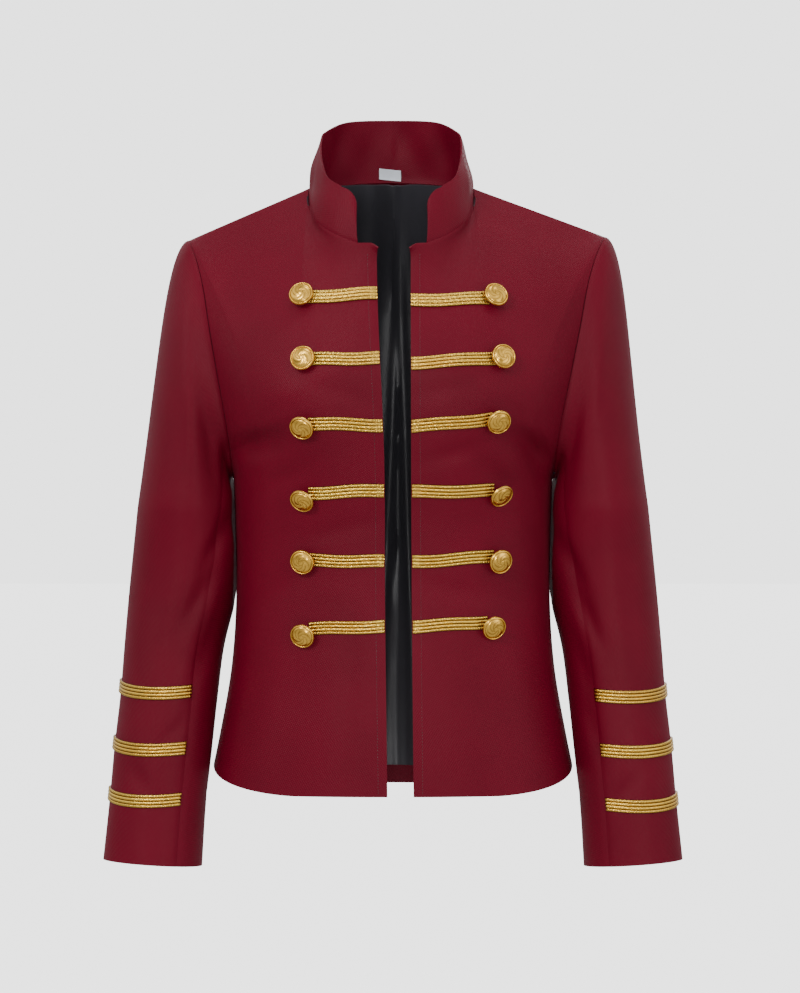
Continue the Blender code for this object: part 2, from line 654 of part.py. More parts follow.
def make_chest_braids(gold, collection):
    for side in SIDES:
        tree = surface_of(f"front_{side.name}")
        for number, row in enumerate(CHEST_ROWS[side.name], 1):
            start = front_edge(side, row.braid_edge_z) + BRAID_END_IN
            xs = np.linspace(start, row.button_x - BRAID_UNDER_BUTTON, CHEST_BRAID_STEPS + 1)
            zs = np.linspace(row.braid_edge_z, row.braid_button_z, CHEST_BRAID_STEPS + 1)
            points = []
            for across in range(BRAID_ACROSS + 1):
                line = []
                for x, z in zip(xs, zs):
                    at_z = z + (across / BRAID_ACROSS - 0.5) * BRAID_WIDTH
                    spot = Vector((side.sign * x, -1, at_z))
                    line.append(laid(tree, spot, FROM_FRONT, BRAID_CLEAR + ribbed(across))[0])
                points.append(line)
            name = f"braid_{side.name[0]}{number}"
            mesh = grid_mesh(name, np.array(points))
            face_outward(mesh, lambda point: Vector((0, -1, 0)))
            add_wall(name, mesh, BRAID_WALL, gold, collection)


def make_cuff_braids(gold, collection):
    for side in SIDES:
        tree = surface_of(f"sleeve_upper_{side.name}")
        angles = np.linspace(BACK_SEAM[-1] - 2 * np.pi, FRONT_SEAM[-1], UPPER_STEPS + 1)
        angles[0] += CUFF_BRAID_IN
        angles[-1] -= CUFF_BRAID_IN
        for number, height in enumerate(CUFF_BRAIDS[side.name], 1):
            points = []
            for across in range(BRAID_ACROSS + 1):
                line = []
                for angle in angles:
                    at_z = height + (across / BRAID_ACROSS - 0.5) * BRAID_WIDTH
                    at_z -= CUFF_BRAID_DIP * math.sin(max(angle, 0) / FRONT_SEAM[-1] * math.pi)
                    at_z += CUFF_BRAID_TILT * math.cos(angle)
                    spot = sleeve_ring(at_z, np.array([angle]))[0]
                    middle = sleeve_ring(at_z, np.array([0.0, np.pi])).mean(axis=0)
                    spot[0] *= side.sign
                    middle[0] *= side.sign
                    way = Vector((middle - spot) * (1, 1, 0)).normalized()
                    outside = Vector((spot[0], spot[1], at_z)) - way * AIM_FROM
                    line.append(laid(tree, outside, way, CUFF_BRAID_CLEAR + ribbed(across))[0])
                points.append(line)
            name = f"cuff_braid_{side.name[0]}{number}"
            mesh = grid_mesh(name, np.array(points))
            face_outward(mesh, away_from(side.sign * SLEEVE_MIDDLE_X, -0.01))
            add_wall(name, mesh, BRAID_WALL, gold, collection)


def make_buttons(gold, collection):
    """Domed buttons, each on a shank that stands on the cloth beside the end of its braid."""
    radius, edge, dome = BUTTON_RADIUS, BUTTON_EDGE, BUTTON_DOME
    profile = [(share * radius, rise * dome) for share, rise in BUTTON_CROWN]
    profile += [
        (RIM_IN * radius, edge),
        (radius, edge / 2),
        (RIM_IN * radius, 0),
        (SHANK_RADIUS, 0),
        (SHANK_RADIUS, -BUTTON_STAND),
        (0, -BUTTON_STAND),
    ]
    for side in SIDES:
        tree = surface_of(f"front_{side.name}")
        for number, row in enumerate(CHEST_ROWS[side.name], 1):
            name = f"button_{side.name[0]}{number}"
            mesh = bpy.data.meshes.new(name)
            points = [(r, 0, z) for r, z in profile]
            mesh.from_pydata(points, [(i, i + 1) for i in range(len(points) - 1)], [])
            obj = add(name, mesh, gold, collection)
            turn = obj.modifiers.new("turn", "SCREW")
            turn.axis = "Z"
            turn.steps = turn.render_steps = BUTTON_STEPS
            turn.use_merge_vertices = True
            turn.merge_threshold = BUTTON_MERGE
            turn.use_normal_calculate = True
            spot = Vector((side.sign * row.button_x, -1, row.button_z))
            obj.location, normal = laid(tree, spot, FROM_FRONT, BUTTON_CLEAR + BUTTON_STAND)
            obj.rotation_euler = normal.to_track_quat("Z", "Y").to_euler()


def main():
    for obj in list(bpy.data.objects):
        bpy.data.objects.remove(obj)
    collection = bpy.data.collections.new("military_style_jacket")
    bpy.context.scene.collection.children.link(collection)
    cloth = principled("red_cloth", RED, 0.55)
    lining = principled("black_lining", BLACK, 0.35)
    gold = principled("gold_trim", GOLD, 0.30, 1.0)
    white = principled("white_label", WHITE, 0.60)
    make_fronts(cloth, collection)
    make_back(cloth, collection)
    make_sleeves(cloth, collection)
    make_collar(cloth, collection)
    make_lining(lining, collection)
    make_label(white, collection)
    make_chest_braids(gold, collection)
    make_cuff_braids(gold, collection)
    make_buttons(gold, collection)


main()
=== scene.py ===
"""The looks of a burgundy military style jacket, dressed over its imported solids.

The cloth follows the same tables of sections as the solids, drawn much more finely, with its creases,
seams and stitches. Metres, +Z up, the front faces -Y; "right" and "left" are the wearer's own.
"""

import json
import math
from collections import namedtuple

import bpy
import numpy as np
from bpy.props import FloatProperty, FloatVectorProperty, IntProperty, PointerProperty
from mathutils import Matrix, Vector
from mathutils.bvhtree import BVHTree

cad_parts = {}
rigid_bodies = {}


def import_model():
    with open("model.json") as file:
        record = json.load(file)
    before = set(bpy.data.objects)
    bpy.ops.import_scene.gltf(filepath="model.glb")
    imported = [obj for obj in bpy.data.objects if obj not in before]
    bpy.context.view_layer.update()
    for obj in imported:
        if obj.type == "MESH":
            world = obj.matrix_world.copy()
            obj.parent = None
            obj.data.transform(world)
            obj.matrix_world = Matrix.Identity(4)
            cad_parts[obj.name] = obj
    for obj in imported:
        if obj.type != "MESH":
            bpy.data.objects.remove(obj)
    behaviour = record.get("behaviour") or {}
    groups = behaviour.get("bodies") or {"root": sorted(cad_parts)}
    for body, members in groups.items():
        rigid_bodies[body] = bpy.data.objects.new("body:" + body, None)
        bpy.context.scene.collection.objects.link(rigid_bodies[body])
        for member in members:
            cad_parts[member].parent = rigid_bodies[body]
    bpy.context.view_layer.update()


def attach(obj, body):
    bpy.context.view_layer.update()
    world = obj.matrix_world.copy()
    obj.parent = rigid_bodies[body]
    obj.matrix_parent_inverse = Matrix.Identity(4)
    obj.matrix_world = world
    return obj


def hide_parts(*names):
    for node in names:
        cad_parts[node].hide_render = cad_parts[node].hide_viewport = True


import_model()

bl_info = {
    "name": "Military Style Jacket",
    "version": (1, 0, 0),
    "blender": (4, 5, 0),
    "location": "View3D > Sidebar > Jacket",
    "description": "Cloth, lining, braid and buttons of a hollow, filled-out military style jacket",
    "category": "Object",
}

Section = namedtuple("Section", "name z half_width front back squareness")
SECTIONS = (
    Section("hem", -0.595, 0.1825, 0.106, 0.098, 2.25),
    Section("hip", -0.535, 0.1700, 0.108, 0.100, 2.25),
    Section("high hip", -0.475, 0.1595, 0.107, 0.096, 2.25),
    Section("waist", -0.405, 0.1545, 0.104, 0.088, 2.3),
    Section("under bust", -0.335, 0.1555, 0.108, 0.092, 2.35),
    Section("underarm", -0.285, 0.1570, 0.117, 0.100, 2.4),
    Section("bust", -0.225, 0.1570, 0.124, 0.108, 2.4),
    Section("chest", -0.140, 0.1570, 0.124, 0.112, 2.4),
    Section("top", 0.035, 0.1570, 0.124, 0.112, 2.4),
)
UNDERARM_Z = -0.285
UNDERARM_X = 0.157
SHOULDER_ROLL = 0.20
TURN_BELOW = 0.04
UNDERARM_SPREAD, SPREAD_FROM, SPREAD_FULL = 0.765, 0.45, 0.75
WALKED_SHARE = 0.35
TOP_BLEND = 0.10
RELAX_DOWN, RELAX_ROUNDS = 0.13, 900
FRONT_ROLL_POWER = 1.5
BACK_ROLL_POWER = 2.0
BUST_X, BUST_Z, BUST_SPREAD, BUST_RISE = 0.082, -0.215, 0.060, 0.009
HEM_Z = -0.593
HEM_RISE = 0.028
HEM_RISE_START = 1 / 3
HEM_RISE_POWER = 1.6

Side = namedtuple("Side", "name sign neck_x shoulder_x shoulder_z edge_top edge_chest edge_hem")
SIDES = (
    Side("right", -1, 0.0830, 0.2010, -0.0510, 0.0155, 0.0085, 0.0052),
    Side("left", 1, 0.0795, 0.2085, -0.0475, 0.0172, 0.0174, 0.0200),
)
EDGE_CHEST_Z = -0.23

ARMHOLE_DOWN = (0.0, 0.08, 0.16, 0.39, 0.59, 0.735, 0.88, 1.0)
ARMHOLE_IN = (0.0, 0.17, 0.29, 0.51, 0.70, 0.84, 0.95, 1.0)
ARMHOLE_FRONT, ARMHOLE_BACK, ARMHOLE_EGG = 0.058, 0.062, 0.25
ARMHOLE_MOST = 0.75
ARMHOLE_TOP_FROM, ARMHOLE_TOP_LEAST = 0.7, 0.6

Neck = namedtuple("Neck", "name share_x y z collar lean")
NECKLINE = (
    Neck("collar end", 0.415, -0.0775, -0.0585, 0.0500, 0.0120),
    Neck("front", 0.700, -0.0675, -0.0490, 0.0475, 0.0120),
    Neck("front side", 0.910, -0.0490, -0.0360, 0.0450, 0.0120),
    Neck("side front", 0.985, -0.0270, -0.0190, 0.0435, 0.0118),
    Neck("neck point", 1.000, 0.0000, 0.0000, 0.0445, 0.0115),
    Neck("side back", 0.930, 0.0205, 0.0015, 0.0540, 0.0105),
    Neck("back", 0.610, 0.0455, 0.0070, 0.0610, 0.0100),
    Neck("centre back", 0.000, 0.0600, 0.0105, 0.0605, 0.0100),
)
NECK_POINT_ROW = 4
NOTCH_Z = -0.0592
NOTCH_CORNER = 0.006
COLLAR_END_LEAN = 0.005
COLLAR_CORNER = 0.014
COLLAR_BOW = 0.006
COLLAR_WAVE, COLLAR_WAVE_FROM = 0.0013, 0.10
COLLAR_END_REACH = 0.03

Ring = namedtuple("Ring", "name z outer inner centre_y half_depth")
SLEEVE = (
    Ring("upper arm", -0.315, 0.2520, 0.1480, 0.004, 0.066),
    Ring("above elbow", -0.360, 0.2566, 0.1470, 0.006, 0.062),
    Ring("elbow", -0.400, 0.2605, 0.1540, 0.005, 0.059),
    Ring("below elbow", -0.450, 0.2646, 0.1662, 0.000, 0.055),
    Ring("forearm", -0.500, 0.2681, 0.1725, -0.008, 0.051),
    Ring("low forearm", -0.550, 0.2733, 0.1777, -0.016, 0.047),
    Ring("wrist", -0.600, 0.2774, 0.1830, -0.023, 0.043),
    Ring("cuff", -0.662, 0.2836, 0.1868, -0.028, 0.041),
)
CUFF_TILT = 0.066
SLEEVE_CLEAR = 0.0030
SLEEVE_MIDDLE_X = 0.215
HEAD_REACH, HEAD_REACH_TOP, HEAD_REACH_SIDE = 0.006, 0.017, 0.010
HEAD_OUT_SIDE, HEAD_OUT_DOWN = 0.25, 0.3
HEAD_RISE, HEAD_RISE_IN = 0.55, 0.145
FRONT_SEAM = np.radians((150, 131, 124, 122, 122, 122, 122, 122, 122))
BACK_SEAM = np.radians((240, 246, 250, 250, 250, 250, 250, 250, 250))

# Troughs (depth above 0) and ridges (below 0): which face and side, middle, direction, size.
Fold = namedtuple("Fold", "face sign x z run_x run_z half_length half_width depth")
FOLDS = (
    Fold(-1, -1, 0.132, -0.262, -0.90, 0.30, 0.045, 0.014, 0.0035),
    Fold(-1, 1, 0.138, -0.262, -0.80, 0.45, 0.045, 0.015, 0.0040),
    Fold(-1, 1, 0.142, -0.325, 0.25, -0.97, 0.045, 0.013, 0.0030),
    Fold(1, -1, 0.125, -0.300, -0.80, -0.55, 0.060, 0.016, 0.0030),
    Fold(1, 1, 0.120, -0.290, -0.85, -0.45, 0.060, 0.016, 0.0030),
    Fold(1, 1, 0.060, -0.395, -0.97, -0.15, 0.070, 0.016, 0.0025),
    Fold(1, -1, 0.070, -0.420, -0.95, 0.20, 0.060, 0.015, 0.0025),
)
BODY_CREASES = (
    Fold(-1, 1, 0.1485, -0.258, -0.45, 0.89, 0.022, 0.0030, 0.0011),
    Fold(-1, -1, 0.1540, -0.259, -0.22, 0.97, 0.019, 0.0030, 0.0010),
    Fold(-1, 1, 0.1400, -0.268, 0.45, -0.89, 0.036, 0.0110, 0.0085),
    Fold(-1, -1, 0.1410, -0.253, -0.95, 0.30, 0.028, 0.0100, 0.0070),
    Fold(-1, -1, 0.128, -0.240, -0.95, 0.31, 0.030, 0.008, -0.0018),
    Fold(-1, -1, 0.130, -0.262, -0.97, 0.25, 0.022, 0.007, 0.0022),
    Fold(-1, 1, 0.142, -0.262, -0.85, 0.53, 0.026, 0.008, 0.0028),
    Fold(-1, 1, 0.146, -0.300, 0.30, -0.95, 0.030, 0.006, 0.0018),
    Fold(-1, -1, 0.112, -0.290, -0.88, 0.47, 0.040, 0.010, 0.0018),
    Fold(-1, -1, 0.146, -0.330, 0.10, -0.99, 0.050, 0.008, 0.0016),
    Fold(-1, -1, 0.060, -0.150, -0.70, 0.71, 0.035, 0.009, 0.0009),
    Fold(-1, -1, 0.100, -0.100, -0.55, 0.83, 0.050, 0.012, 0.0012),
    Fold(-1, -1, 0.050, -0.205, 0.94, 0.34, 0.030, 0.008, 0.0009),
    Fold(-1, -1, 0.055, -0.338, 0.97, -0.24, 0.035, 0.009, 0.0010),
    Fold(-1, -1, 0.120, -0.400, 0.80, -0.60, 0.050, 0.013, 0.0016),
    Fold(-1, -1, 0.095, -0.500, 0.30, -0.95, 0.070, 0.016, 0.0016),
    Fold(-1, -1, 0.140, -0.520, 0.20, -0.98, 0.060, 0.014, 0.0018),
    Fold(-1, -1, 0.040, -0.470, 0.10, -0.99, 0.060, 0.010, 0.0010),
    Fold(-1, 1, 0.132, -0.238, -0.92, 0.39, 0.030, 0.008, -0.0020),
    Fold(-1, 1, 0.118, -0.300, -0.75, 0.66, 0.045, 0.010, 0.0020),
    Fold(-1, 1, 0.150, -0.290, 0.15, -0.99, 0.055, 0.007, 0.0018),
    Fold(-1, 1, 0.036, -0.085, -0.60, 0.80, 0.022, 0.007, 0.0011),
    Fold(-1, 1, 0.110, -0.090, -0.40, 0.92, 0.050, 0.013, 0.0013),
    Fold(-1, 1, 0.060, -0.200, 0.97, 0.20, 0.035, 0.008, 0.0009),
    Fold(-1, 1, 0.062, -0.262, 0.96, 0.28, 0.030, 0.008, 0.0010),
    Fold(-1, 1, 0.058, -0.395, 0.97, -0.20, 0.040, 0.010, 0.0011),
    Fold(-1, 1, 0.125, -0.420, 0.70, -0.71, 0.050, 0.013, 0.0017),
    Fold(-1, 1, 0.100, -0.520, 0.25, -0.97, 0.070, 0.015, 0.0017),
    Fold(-1, 1, 0.150, -0.500, 0.25, -0.97, 0.060, 0.014, 0.0018),
    Fold(1, -1, 0.100, -0.110, -0.60, -0.80, 0.060, 0.014, 0.0020),
    Fold(1, 1, 0.108, -0.120, -0.50, -0.87, 0.060, 0.013, 0.0018),
    Fold(1, -1, 0.030, -0.355, -0.98, 0.18, 0.060, 0.013, 0.0018),
    Fold(1, 1, 0.110, -0.440, -0.80, -0.60, 0.050, 0.013, 0.0018),
    Fold(1, -1, 0.120, -0.480, 0.20, -0.98, 0.070, 0.016, 0.0018),
    Fold(1, 1, 0.130, -0.520, 0.30, -0.95, 0.070, 0.015, 0.0018),
    Fold(1, 1, 0.020, -0.520, 0.06, -1.00, 0.080, 0.013, 0.0013),
)
SLEEVE_CREASES = (
    Fold(-1, -1, 0.184, -0.140, -0.17, -0.98, 0.070, 0.009, 0.0022),
    Fold(-1, -1, 0.176, -0.250, -0.12, -0.99, 0.060, 0.010, 0.0030),
    Fold(-1, -1, 0.196, -0.225, -0.05, -1.00, 0.070, 0.009, -0.0014),
    Fold(-1, -1, 0.168, -0.345, 0.45, -0.89, 0.035, 0.008, 0.0030),
    Fold(-1, -1, 0.186, -0.400, 0.50, -0.87, 0.035, 0.009, 0.0026),
    Fold(-1, -1, 0.182, -0.455, 0.30, -0.95, 0.040, 0.008, 0.0022),
    Fold(-1, -1, 0.230, -0.400, 0.20, -0.98, 0.060, 0.013, 0.0012),
    Fold(-1, -1, 0.215, -0.535, 0.65, -0.76, 0.020, 0.007, 0.0010),
    Fold(-1, -1, 0.245, -0.580, -0.55, -0.84, 0.022, 0.008, 0.0010),
    Fold(-1, 1, 0.184, -0.120, -0.17, -0.98, 0.080, 0.010, 0.0036),
    Fold(-1, 1, 0.172, -0.240, -0.12, -0.99, 0.060, 0.010, 0.0034),
    Fold(-1, 1, 0.198, -0.170, -0.12, -0.99, 0.080, 0.010, -0.0016),
    Fold(-1, 1, 0.170, -0.365, 0.45, -0.89, 0.035, 0.008, 0.0034),
    Fold(-1, 1, 0.186, -0.415, 0.42, -0.91, 0.032, 0.008, 0.0030),
    Fold(-1, 1, 0.184, -0.470, 0.25, -0.97, 0.035, 0.007, 0.0026),
    Fold(-1, 1, 0.192, -0.525, 0.25, -0.97, 0.030, 0.007, 0.0020),
    Fold(-1, 1, 0.232, -0.420, 0.10, -0.99, 0.060, 0.012, 0.0012),
    Fold(-1, 1, 0.250, -0.545, 0.75, -0.66, 0.020, 0.007, 0.0011),
    Fold(-1, 1, 0.225, -0.590, -0.60, -0.80, 0.022, 0.008, 0.0010),
    Fold(1, -1, 0.185, -0.160, -0.15, -0.99, 0.080, 0.011, 0.0028),
    Fold(1, -1, 0.200, -0.375, 0.80, -0.60, 0.045, 0.010, 0.0030),
    Fold(1, -1, 0.215, -0.430, 0.90, -0.43, 0.040, 0.009, 0.0024),
    Fold(1, -1, 0.235, -0.520, 0.60, -0.80, 0.035, 0.009, 0.0016),
    Fold(1, 1, 0.185, -0.180, -0.15, -0.99, 0.080, 0.011, 0.0028),
    Fold(1, 1, 0.205, -0.385, 0.75, -0.66, 0.045, 0.010, 0.0030),
    Fold(1, 1, 0.212, -0.445, 0.92, -0.39, 0.040, 0.009, 0.0022),
    Fold(1, 1, 0.240, -0.540, 0.55, -0.84, 0.035, 0.009, 0.0016),
)
# Hanging folds of the lining: middle, lean with height, half width, depth.
LINING_FOLDS = (
    (-0.094, 0.02, 0.012, 0.0050),
    (-0.058, -0.03, 0.010, 0.0060),
    (-0.027, 0.02, 0.008, 0.0050),
    (-0.004, 0.05, 0.005, 0.0040),
    (0.014, -0.03, 0.005, 0.0045),
    (0.041, 0.03, 0.009, 0.0060),
    (0.073, -0.02, 0.011, 0.0050),
    (0.104, 0.02, 0.012, 0.0050),
)
LINING_SEAM_X, LINING_SEAM_HALF, LINING_SEAM_RIDGE = 0.0045, 0.0022, 0.0016
LINING_LINE_Z, LINING_LINE_HALF, LINING_LINE_RIDGE = -0.247, 0.0030, 0.0014
LINING_IN, LINING_OUT_MOST, LINING_ABOVE_HEM, LINING_SIDE = 0.0050, 0.0008, 0.012, 0.19
LINING_TOP_SHARE, LINING_EDGE_COLUMNS = 0.35, 12

# Each chest row: its button's place and tilt in degrees, and the braid's height at both ends.
Row = namedtuple("Row", "button_x button_z tilt turn braid_edge_z braid_button_z")
CHEST_ROWS = {
    "right": (
        Row(0.0865, -0.1125, 4, 0, -0.1090, -0.1125),
        Row(0.0845, -0.1740, 3, 0, -0.1720, -0.1733),
        Row(0.0850, -0.2370, 16, 4, -0.2360, -0.2345),
        Row(0.0850, -0.3070, 26, 6, -0.2985, -0.3010),
        Row(0.0850, -0.3665, 8, 0, -0.3665, -0.3655),
        Row(0.0850, -0.4385, 26, 5, -0.4290, -0.4320),
    ),
    "left": (
        Row(0.0970, -0.1130, 3, 0, -0.1155, -0.1135),
        Row(0.1035, -0.1720, 3, 0, -0.1765, -0.1715),
        Row(0.0990, -0.2310, 6, 8, -0.2370, -0.2295),
        Row(0.1010, -0.3030, 28, 14, -0.2995, -0.2985),
        Row(0.1010, -0.3665, 22, -16, -0.3665, -0.3620),
        Row(0.0950, -0.4310, 24, 8, -0.4290, -0.4250),
    ),
}
CUFF_BRAIDS = {"right": (-0.4920, -0.5470, -0.5965), "left": (-0.4959, -0.5489, -0.6016)}
CUFF_BRAID_DIP = 0.0045
CUFF_BRAID_TILT = 0.0026
CUFF_BRAID_IN = 0.03
CUFF_BRAID_STEPS = 200
RAY_FROM_OUTSIDE = 0.03
BRAID_END_IN = 0.0008
BRAID_UNDER_BUTTON = 0.004
BRAID_STEP = 0.0007
BRAID_ACROSS = 20
BRAID_FOOT, BRAID_BASE, BRAID_WAVE = 0.0001, 0.0007, 0.0007
BRAID_SMOOTHING = 12
RIB_FOOT = 0.10
TWIST_LENGTH, TWIST_OUTER, TWIST_INNER = 0.0026, 0.38, 0.07
BAND_LENGTH, BAND_KNOT, BAND_CROSSINGS = 0.0085, 0.0007, 3
BUTTON_HEIGHT = 0.0067
BUTTON_TURNS = 144
RIM_AT, RIM_HALF, RIM_HEIGHT, RIM_ROUND_FROM = 0.925, 0.050, 0.0006, 0.965
MOAT_AT, MOAT_HALF, MOAT_DEPTH = 0.830, 0.030, 0.0005
LEAVES, LEAF_SWIRL, LEAF_AT, LEAF_HALF = 3, 10, 0.47, 0.27
BOSS_RADIUS, BOSS_MOAT_AT = 0.15, 0.19
BUTTON_FOOT, SHANK_RADIUS, SHANK_SHORT = 0.93, 0.0024, 0.0002
LABEL_X, LABEL_WIDTH, LABEL_HEIGHT, LABEL_RISE, LABEL_TILT = -0.003, 0.022, 0.0110, 0.0012, 0.10
LABEL_LIFT, LABEL_CURL, LABEL_RIPPLE, LABEL_THICK = 0.0006, 0.0010, 0.0003, 0.0005
LABEL_ROWS, LABEL_COLUMNS = 13, 25
STITCH_LENGTH, STITCH_RADIUS, STITCH_LIFT = 0.0019, 0.00028, 0.00005
STITCH_ABOVE_HEM, STITCH_BELOW_NOTCH, STITCH_PATH_STEP = 0.004, 0.010, 0.002

FINE = 7
BODY_ROWS = 130
ROW_CROWDING = 1.3
NECK_STEPS, SHOULDER_STEPS, ARMHOLE_STEPS = 5 * FINE, 3 * FINE, 6 * FINE
HEAD_ROWS, ARM_ROWS, UPPER_STEPS, UNDER_STEPS = 34, 92, 90, 32
COLLAR_ROWS, COLLAR_STEPS = 22, 56
EDGE_ROLL = (0.0008, 0.0003)
FACING, HEM_BAND, CUFF_BAND = 0.062, 0.032, 0.030
FROM_FRONT = Vector((0, 1, 0))
# A ray that runs exactly along an edge can miss both faces, so it is cast again a hair away.
RAY_NUDGES = ((0, 0, 0), (1.1e-4, 0, 0.4e-4), (-0.7e-4, 0, 1.3e-4), (0.5e-4, 0.5e-4, -1.2e-4))

# Shares of the trim's gold, by red, green and blue: the braid's painted shade in the hollows between its ribs, the
# button's own bright gilt, and the button's brown, which is uneven tone in its patches and painted shade in its
# hollows.
BRAID_HOLLOW_SHADE = (0.20, 0.13, 0.10)
BUTTON_BRIGHT = (1.19, 1.28, 1.25)
BUTTON_PATCH_AND_SHADE = (0.22, 0.15, 0.10)
CROSSING_ANGLE, CROSSING_SHARE = 1.35, 0.6
WEAVE_RANGE = 1.6
PATCH_SHARE, PATCH_CONTRAST, ROUGHNESS_SWING = 0.55, 2.4, 0.06

CAMERA_AT = (0.0069, -4.0, -0.3042)
CAMERA_LENS = 182.56
FLOOR_HALF, FLOOR_GLOW = 40.0, 0.93
# The surround's light by height, from straight down at 0 to straight up at 1.
SKY_STOPS = ((0.40, 0.22), (0.49, 0.70), (0.60, 1.20), (0.72, 2.7))
SKY_LOWEST, SKY_HIGHEST = 0.14, 0.9
Lamp = namedtuple("Lamp", "name at size power")
LAMPS = (
    Lamp("key light", (-1.7, -2.6, 1.3), 0.9, 34.0),
    Lamp("fill light", (2.6, -2.2, -0.1), 1.8, 16.0),
    Lamp("front light", (0.0, -4.6, -0.2), 0.8, 40.0),
    Lamp("top light", (0.2, -0.3, 2.4), 1.2, 16.0),
    Lamp("back light", (0.4, 3.0, 1.2), 2.0, 22.0),
)
LAMPS_AIM = (0, 0, -0.3)


def srgb(red, green, blue):
    """A picture's colour, 0 to 255, as Blender's linear colour."""
    return tuple((c / 255 / 12.92) if c < 11 else ((c / 255 + 0.055) / 1.055) ** 2.4 for c in (red, green, blue))


class ClothSettings(bpy.types.PropertyGroup):
    """Sizes and colours of the cloth."""

    thickness: FloatProperty(name="Thickness", description="Thickness of the cloth", default=0.0016, unit="LENGTH")
    creases: FloatProperty(name="Creases", description="Share of the creases' full depth", default=1.7)
    red: FloatVectorProperty(
        name="Cloth colour", description="Colour of the woven cloth", subtype="COLOR", default=(0.137, 0.0011, 0.0128)
    )
    lining: FloatVectorProperty(
        name="Lining colour", description="Colour of the satin lining", subtype="COLOR", default=(0.040, 0.039, 0.047)
    )
    label: FloatVectorProperty(
        name="Label colour", description="Colour of the blank label", subtype="COLOR", default=srgb(236, 243, 255)
    )
    stitch_spacing: FloatProperty(
        name="Stitch spacing", description="From one stitch to the next", default=0.0029, unit="LENGTH"
    )
    stitch_in: FloatProperty(
        name="Stitching from edge", description="From the front edge to its stitching", default=0.0088, unit="LENGTH"
    )


class TrimSettings(bpy.types.PropertyGroup):
    """Sizes and colours of the braid and the buttons."""

    gold: FloatVectorProperty(
        name="Gold", description="Colour of the braid and buttons", subtype="COLOR", default=(0.84, 0.46, 0.080)
    )
    braid_width: FloatProperty(name="Braid width", description="Width of the braid", default=0.0130, unit="LENGTH")
    rib: FloatProperty(name="Rib height", description="Height of the braid's ribs", default=0.0016, unit="LENGTH")
    ribs: IntProperty(name="Ribs", description="Ribs across the braid", default=4)
    button_radius: FloatProperty(name="Button radius", description="Radius of a button", default=0.0122, unit="LENGTH")
    button_dome: FloatProperty(name="Button dome", description="Rise of its middle", default=0.0042, unit="LENGTH")
    relief: FloatProperty(name="Relief", description="Height of the button's ornament", default=0.00042, unit="LENGTH")


class StageSettings(bpy.types.PropertyGroup):
    """The floor and the light."""

    floor_z: FloatProperty(name="Floor height", description="Height of the floor", default=-1.25, unit="LENGTH")
    light: FloatProperty(name="Light", description="Strength of all lamps", default=1.0)
    surround: FloatProperty(name="Surround", description="Strength of the surround's light", default=0.50)
    pale: FloatProperty(name="Paleness", description="How pale the floor and the surround look", default=2.62)


# The pattern: the same rules as the solids'.


def smooth(at, knots, values):
    """A smooth curve through the rows of a table, held at its ends."""
    knots = np.asarray(knots, float)
    values = np.asarray(values, float)
    slopes = np.gradient(values, knots, axis=0)
    at = np.clip(np.asarray(at, float), knots[0], knots[-1])
    low = np.clip(np.searchsorted(knots, at, side="right") - 1, 0, len(knots) - 2)
    step = knots[low + 1] - knots[low]
    t = (at - knots[low]) / step
    if values.ndim > 1:
        t, step = t[..., None], step[..., None]
    start = (1 + 2 * t) * (1 - t) ** 2 * values[low] + t * (1 - t) ** 2 * step * slopes[low]
    end = t * t * (3 - 2 * t) * values[low + 1] - t * t * (1 - t) * step * slopes[low + 1]
    return start + end


def section(z):
    """The half width, front depth, back depth and squareness of the body at this height."""
    found = smooth(z, [row.z for row in SECTIONS], [row[2:] for row in SECTIONS])
    return found[..., 0], found[..., 1], found[..., 2], found[..., 3]


def shoulder_height(side, x):
    """How high the shoulder seam is at x."""
    return side.shoulder_z * (x - side.neck_x) / (side.shoulder_x - side.neck_x)


def armhole_x(side, z):
    """How far out the armhole seam is at z, from its table."""
    down = (side.shoulder_z - z) / (side.shoulder_z - UNDERARM_Z)
    return side.shoulder_x - (side.shoulder_x - UNDERARM_X) * smooth(down, ARMHOLE_DOWN, ARMHOLE_IN)


def rolled(side, x, z, face):
    """From 0 on the shoulder seam to 1 on the chest: how far the cloth has come over the shoulder."""
    power = np.where(face < 0, FRONT_ROLL_POWER, BACK_ROLL_POWER)
    down = np.clip((shoulder_height(side, x) - z) / SHOULDER_ROLL, 0, 1)
    return (1 - (1 - down) ** power) ** (1 / power)


def half_width(side, z, face):
    """The half width of the section; above the underarm, the one that takes it through the armhole."""
    table_width, front, back, square = section(z)
    middle = (side.shoulder_z + UNDERARM_Z) / 2
    half_height = (side.shoulder_z - UNDERARM_Z) / 2
    up = np.clip((z - middle) / half_height, -1, 1)
    widest = np.where(face < 0, ARMHOLE_FRONT, ARMHOLE_BACK)
    egg = widest * np.sqrt(1 - up * up) * (1 - ARMHOLE_EGG * up)
    seam_x = armhole_x(side, z)
    depth = np.where(face < 0, front, back)
    share = egg / np.maximum(depth * rolled(side, seam_x, z, face), 1e-6)
    least = np.where(up > ARMHOLE_TOP_FROM, ARMHOLE_TOP_LEAST, 0)
    share = np.clip(share, least, ARMHOLE_MOST)
    chest_width = seam_x / (1 - share**square) ** (1 / square)
    return np.where(z > UNDERARM_Z, chest_width, table_width)


def troughs(folds, sign, face, x, z):
    """How deep the folds of one side and face are, all together, at x and z."""
    depth = 0 * x
    for fold in folds:
        if fold.sign == sign:
            along = (x - fold.x) * fold.run_x + (z - fold.z) * fold.run_z
            beside = (x - fold.x) * fold.run_z - (z - fold.z) * fold.run_x
            trough = np.exp(-((along / fold.half_length) ** 2) - (beside / fold.half_width) ** 2)
            depth = depth + np.where(fold.face == face, fold.depth * trough, 0)
    return depth


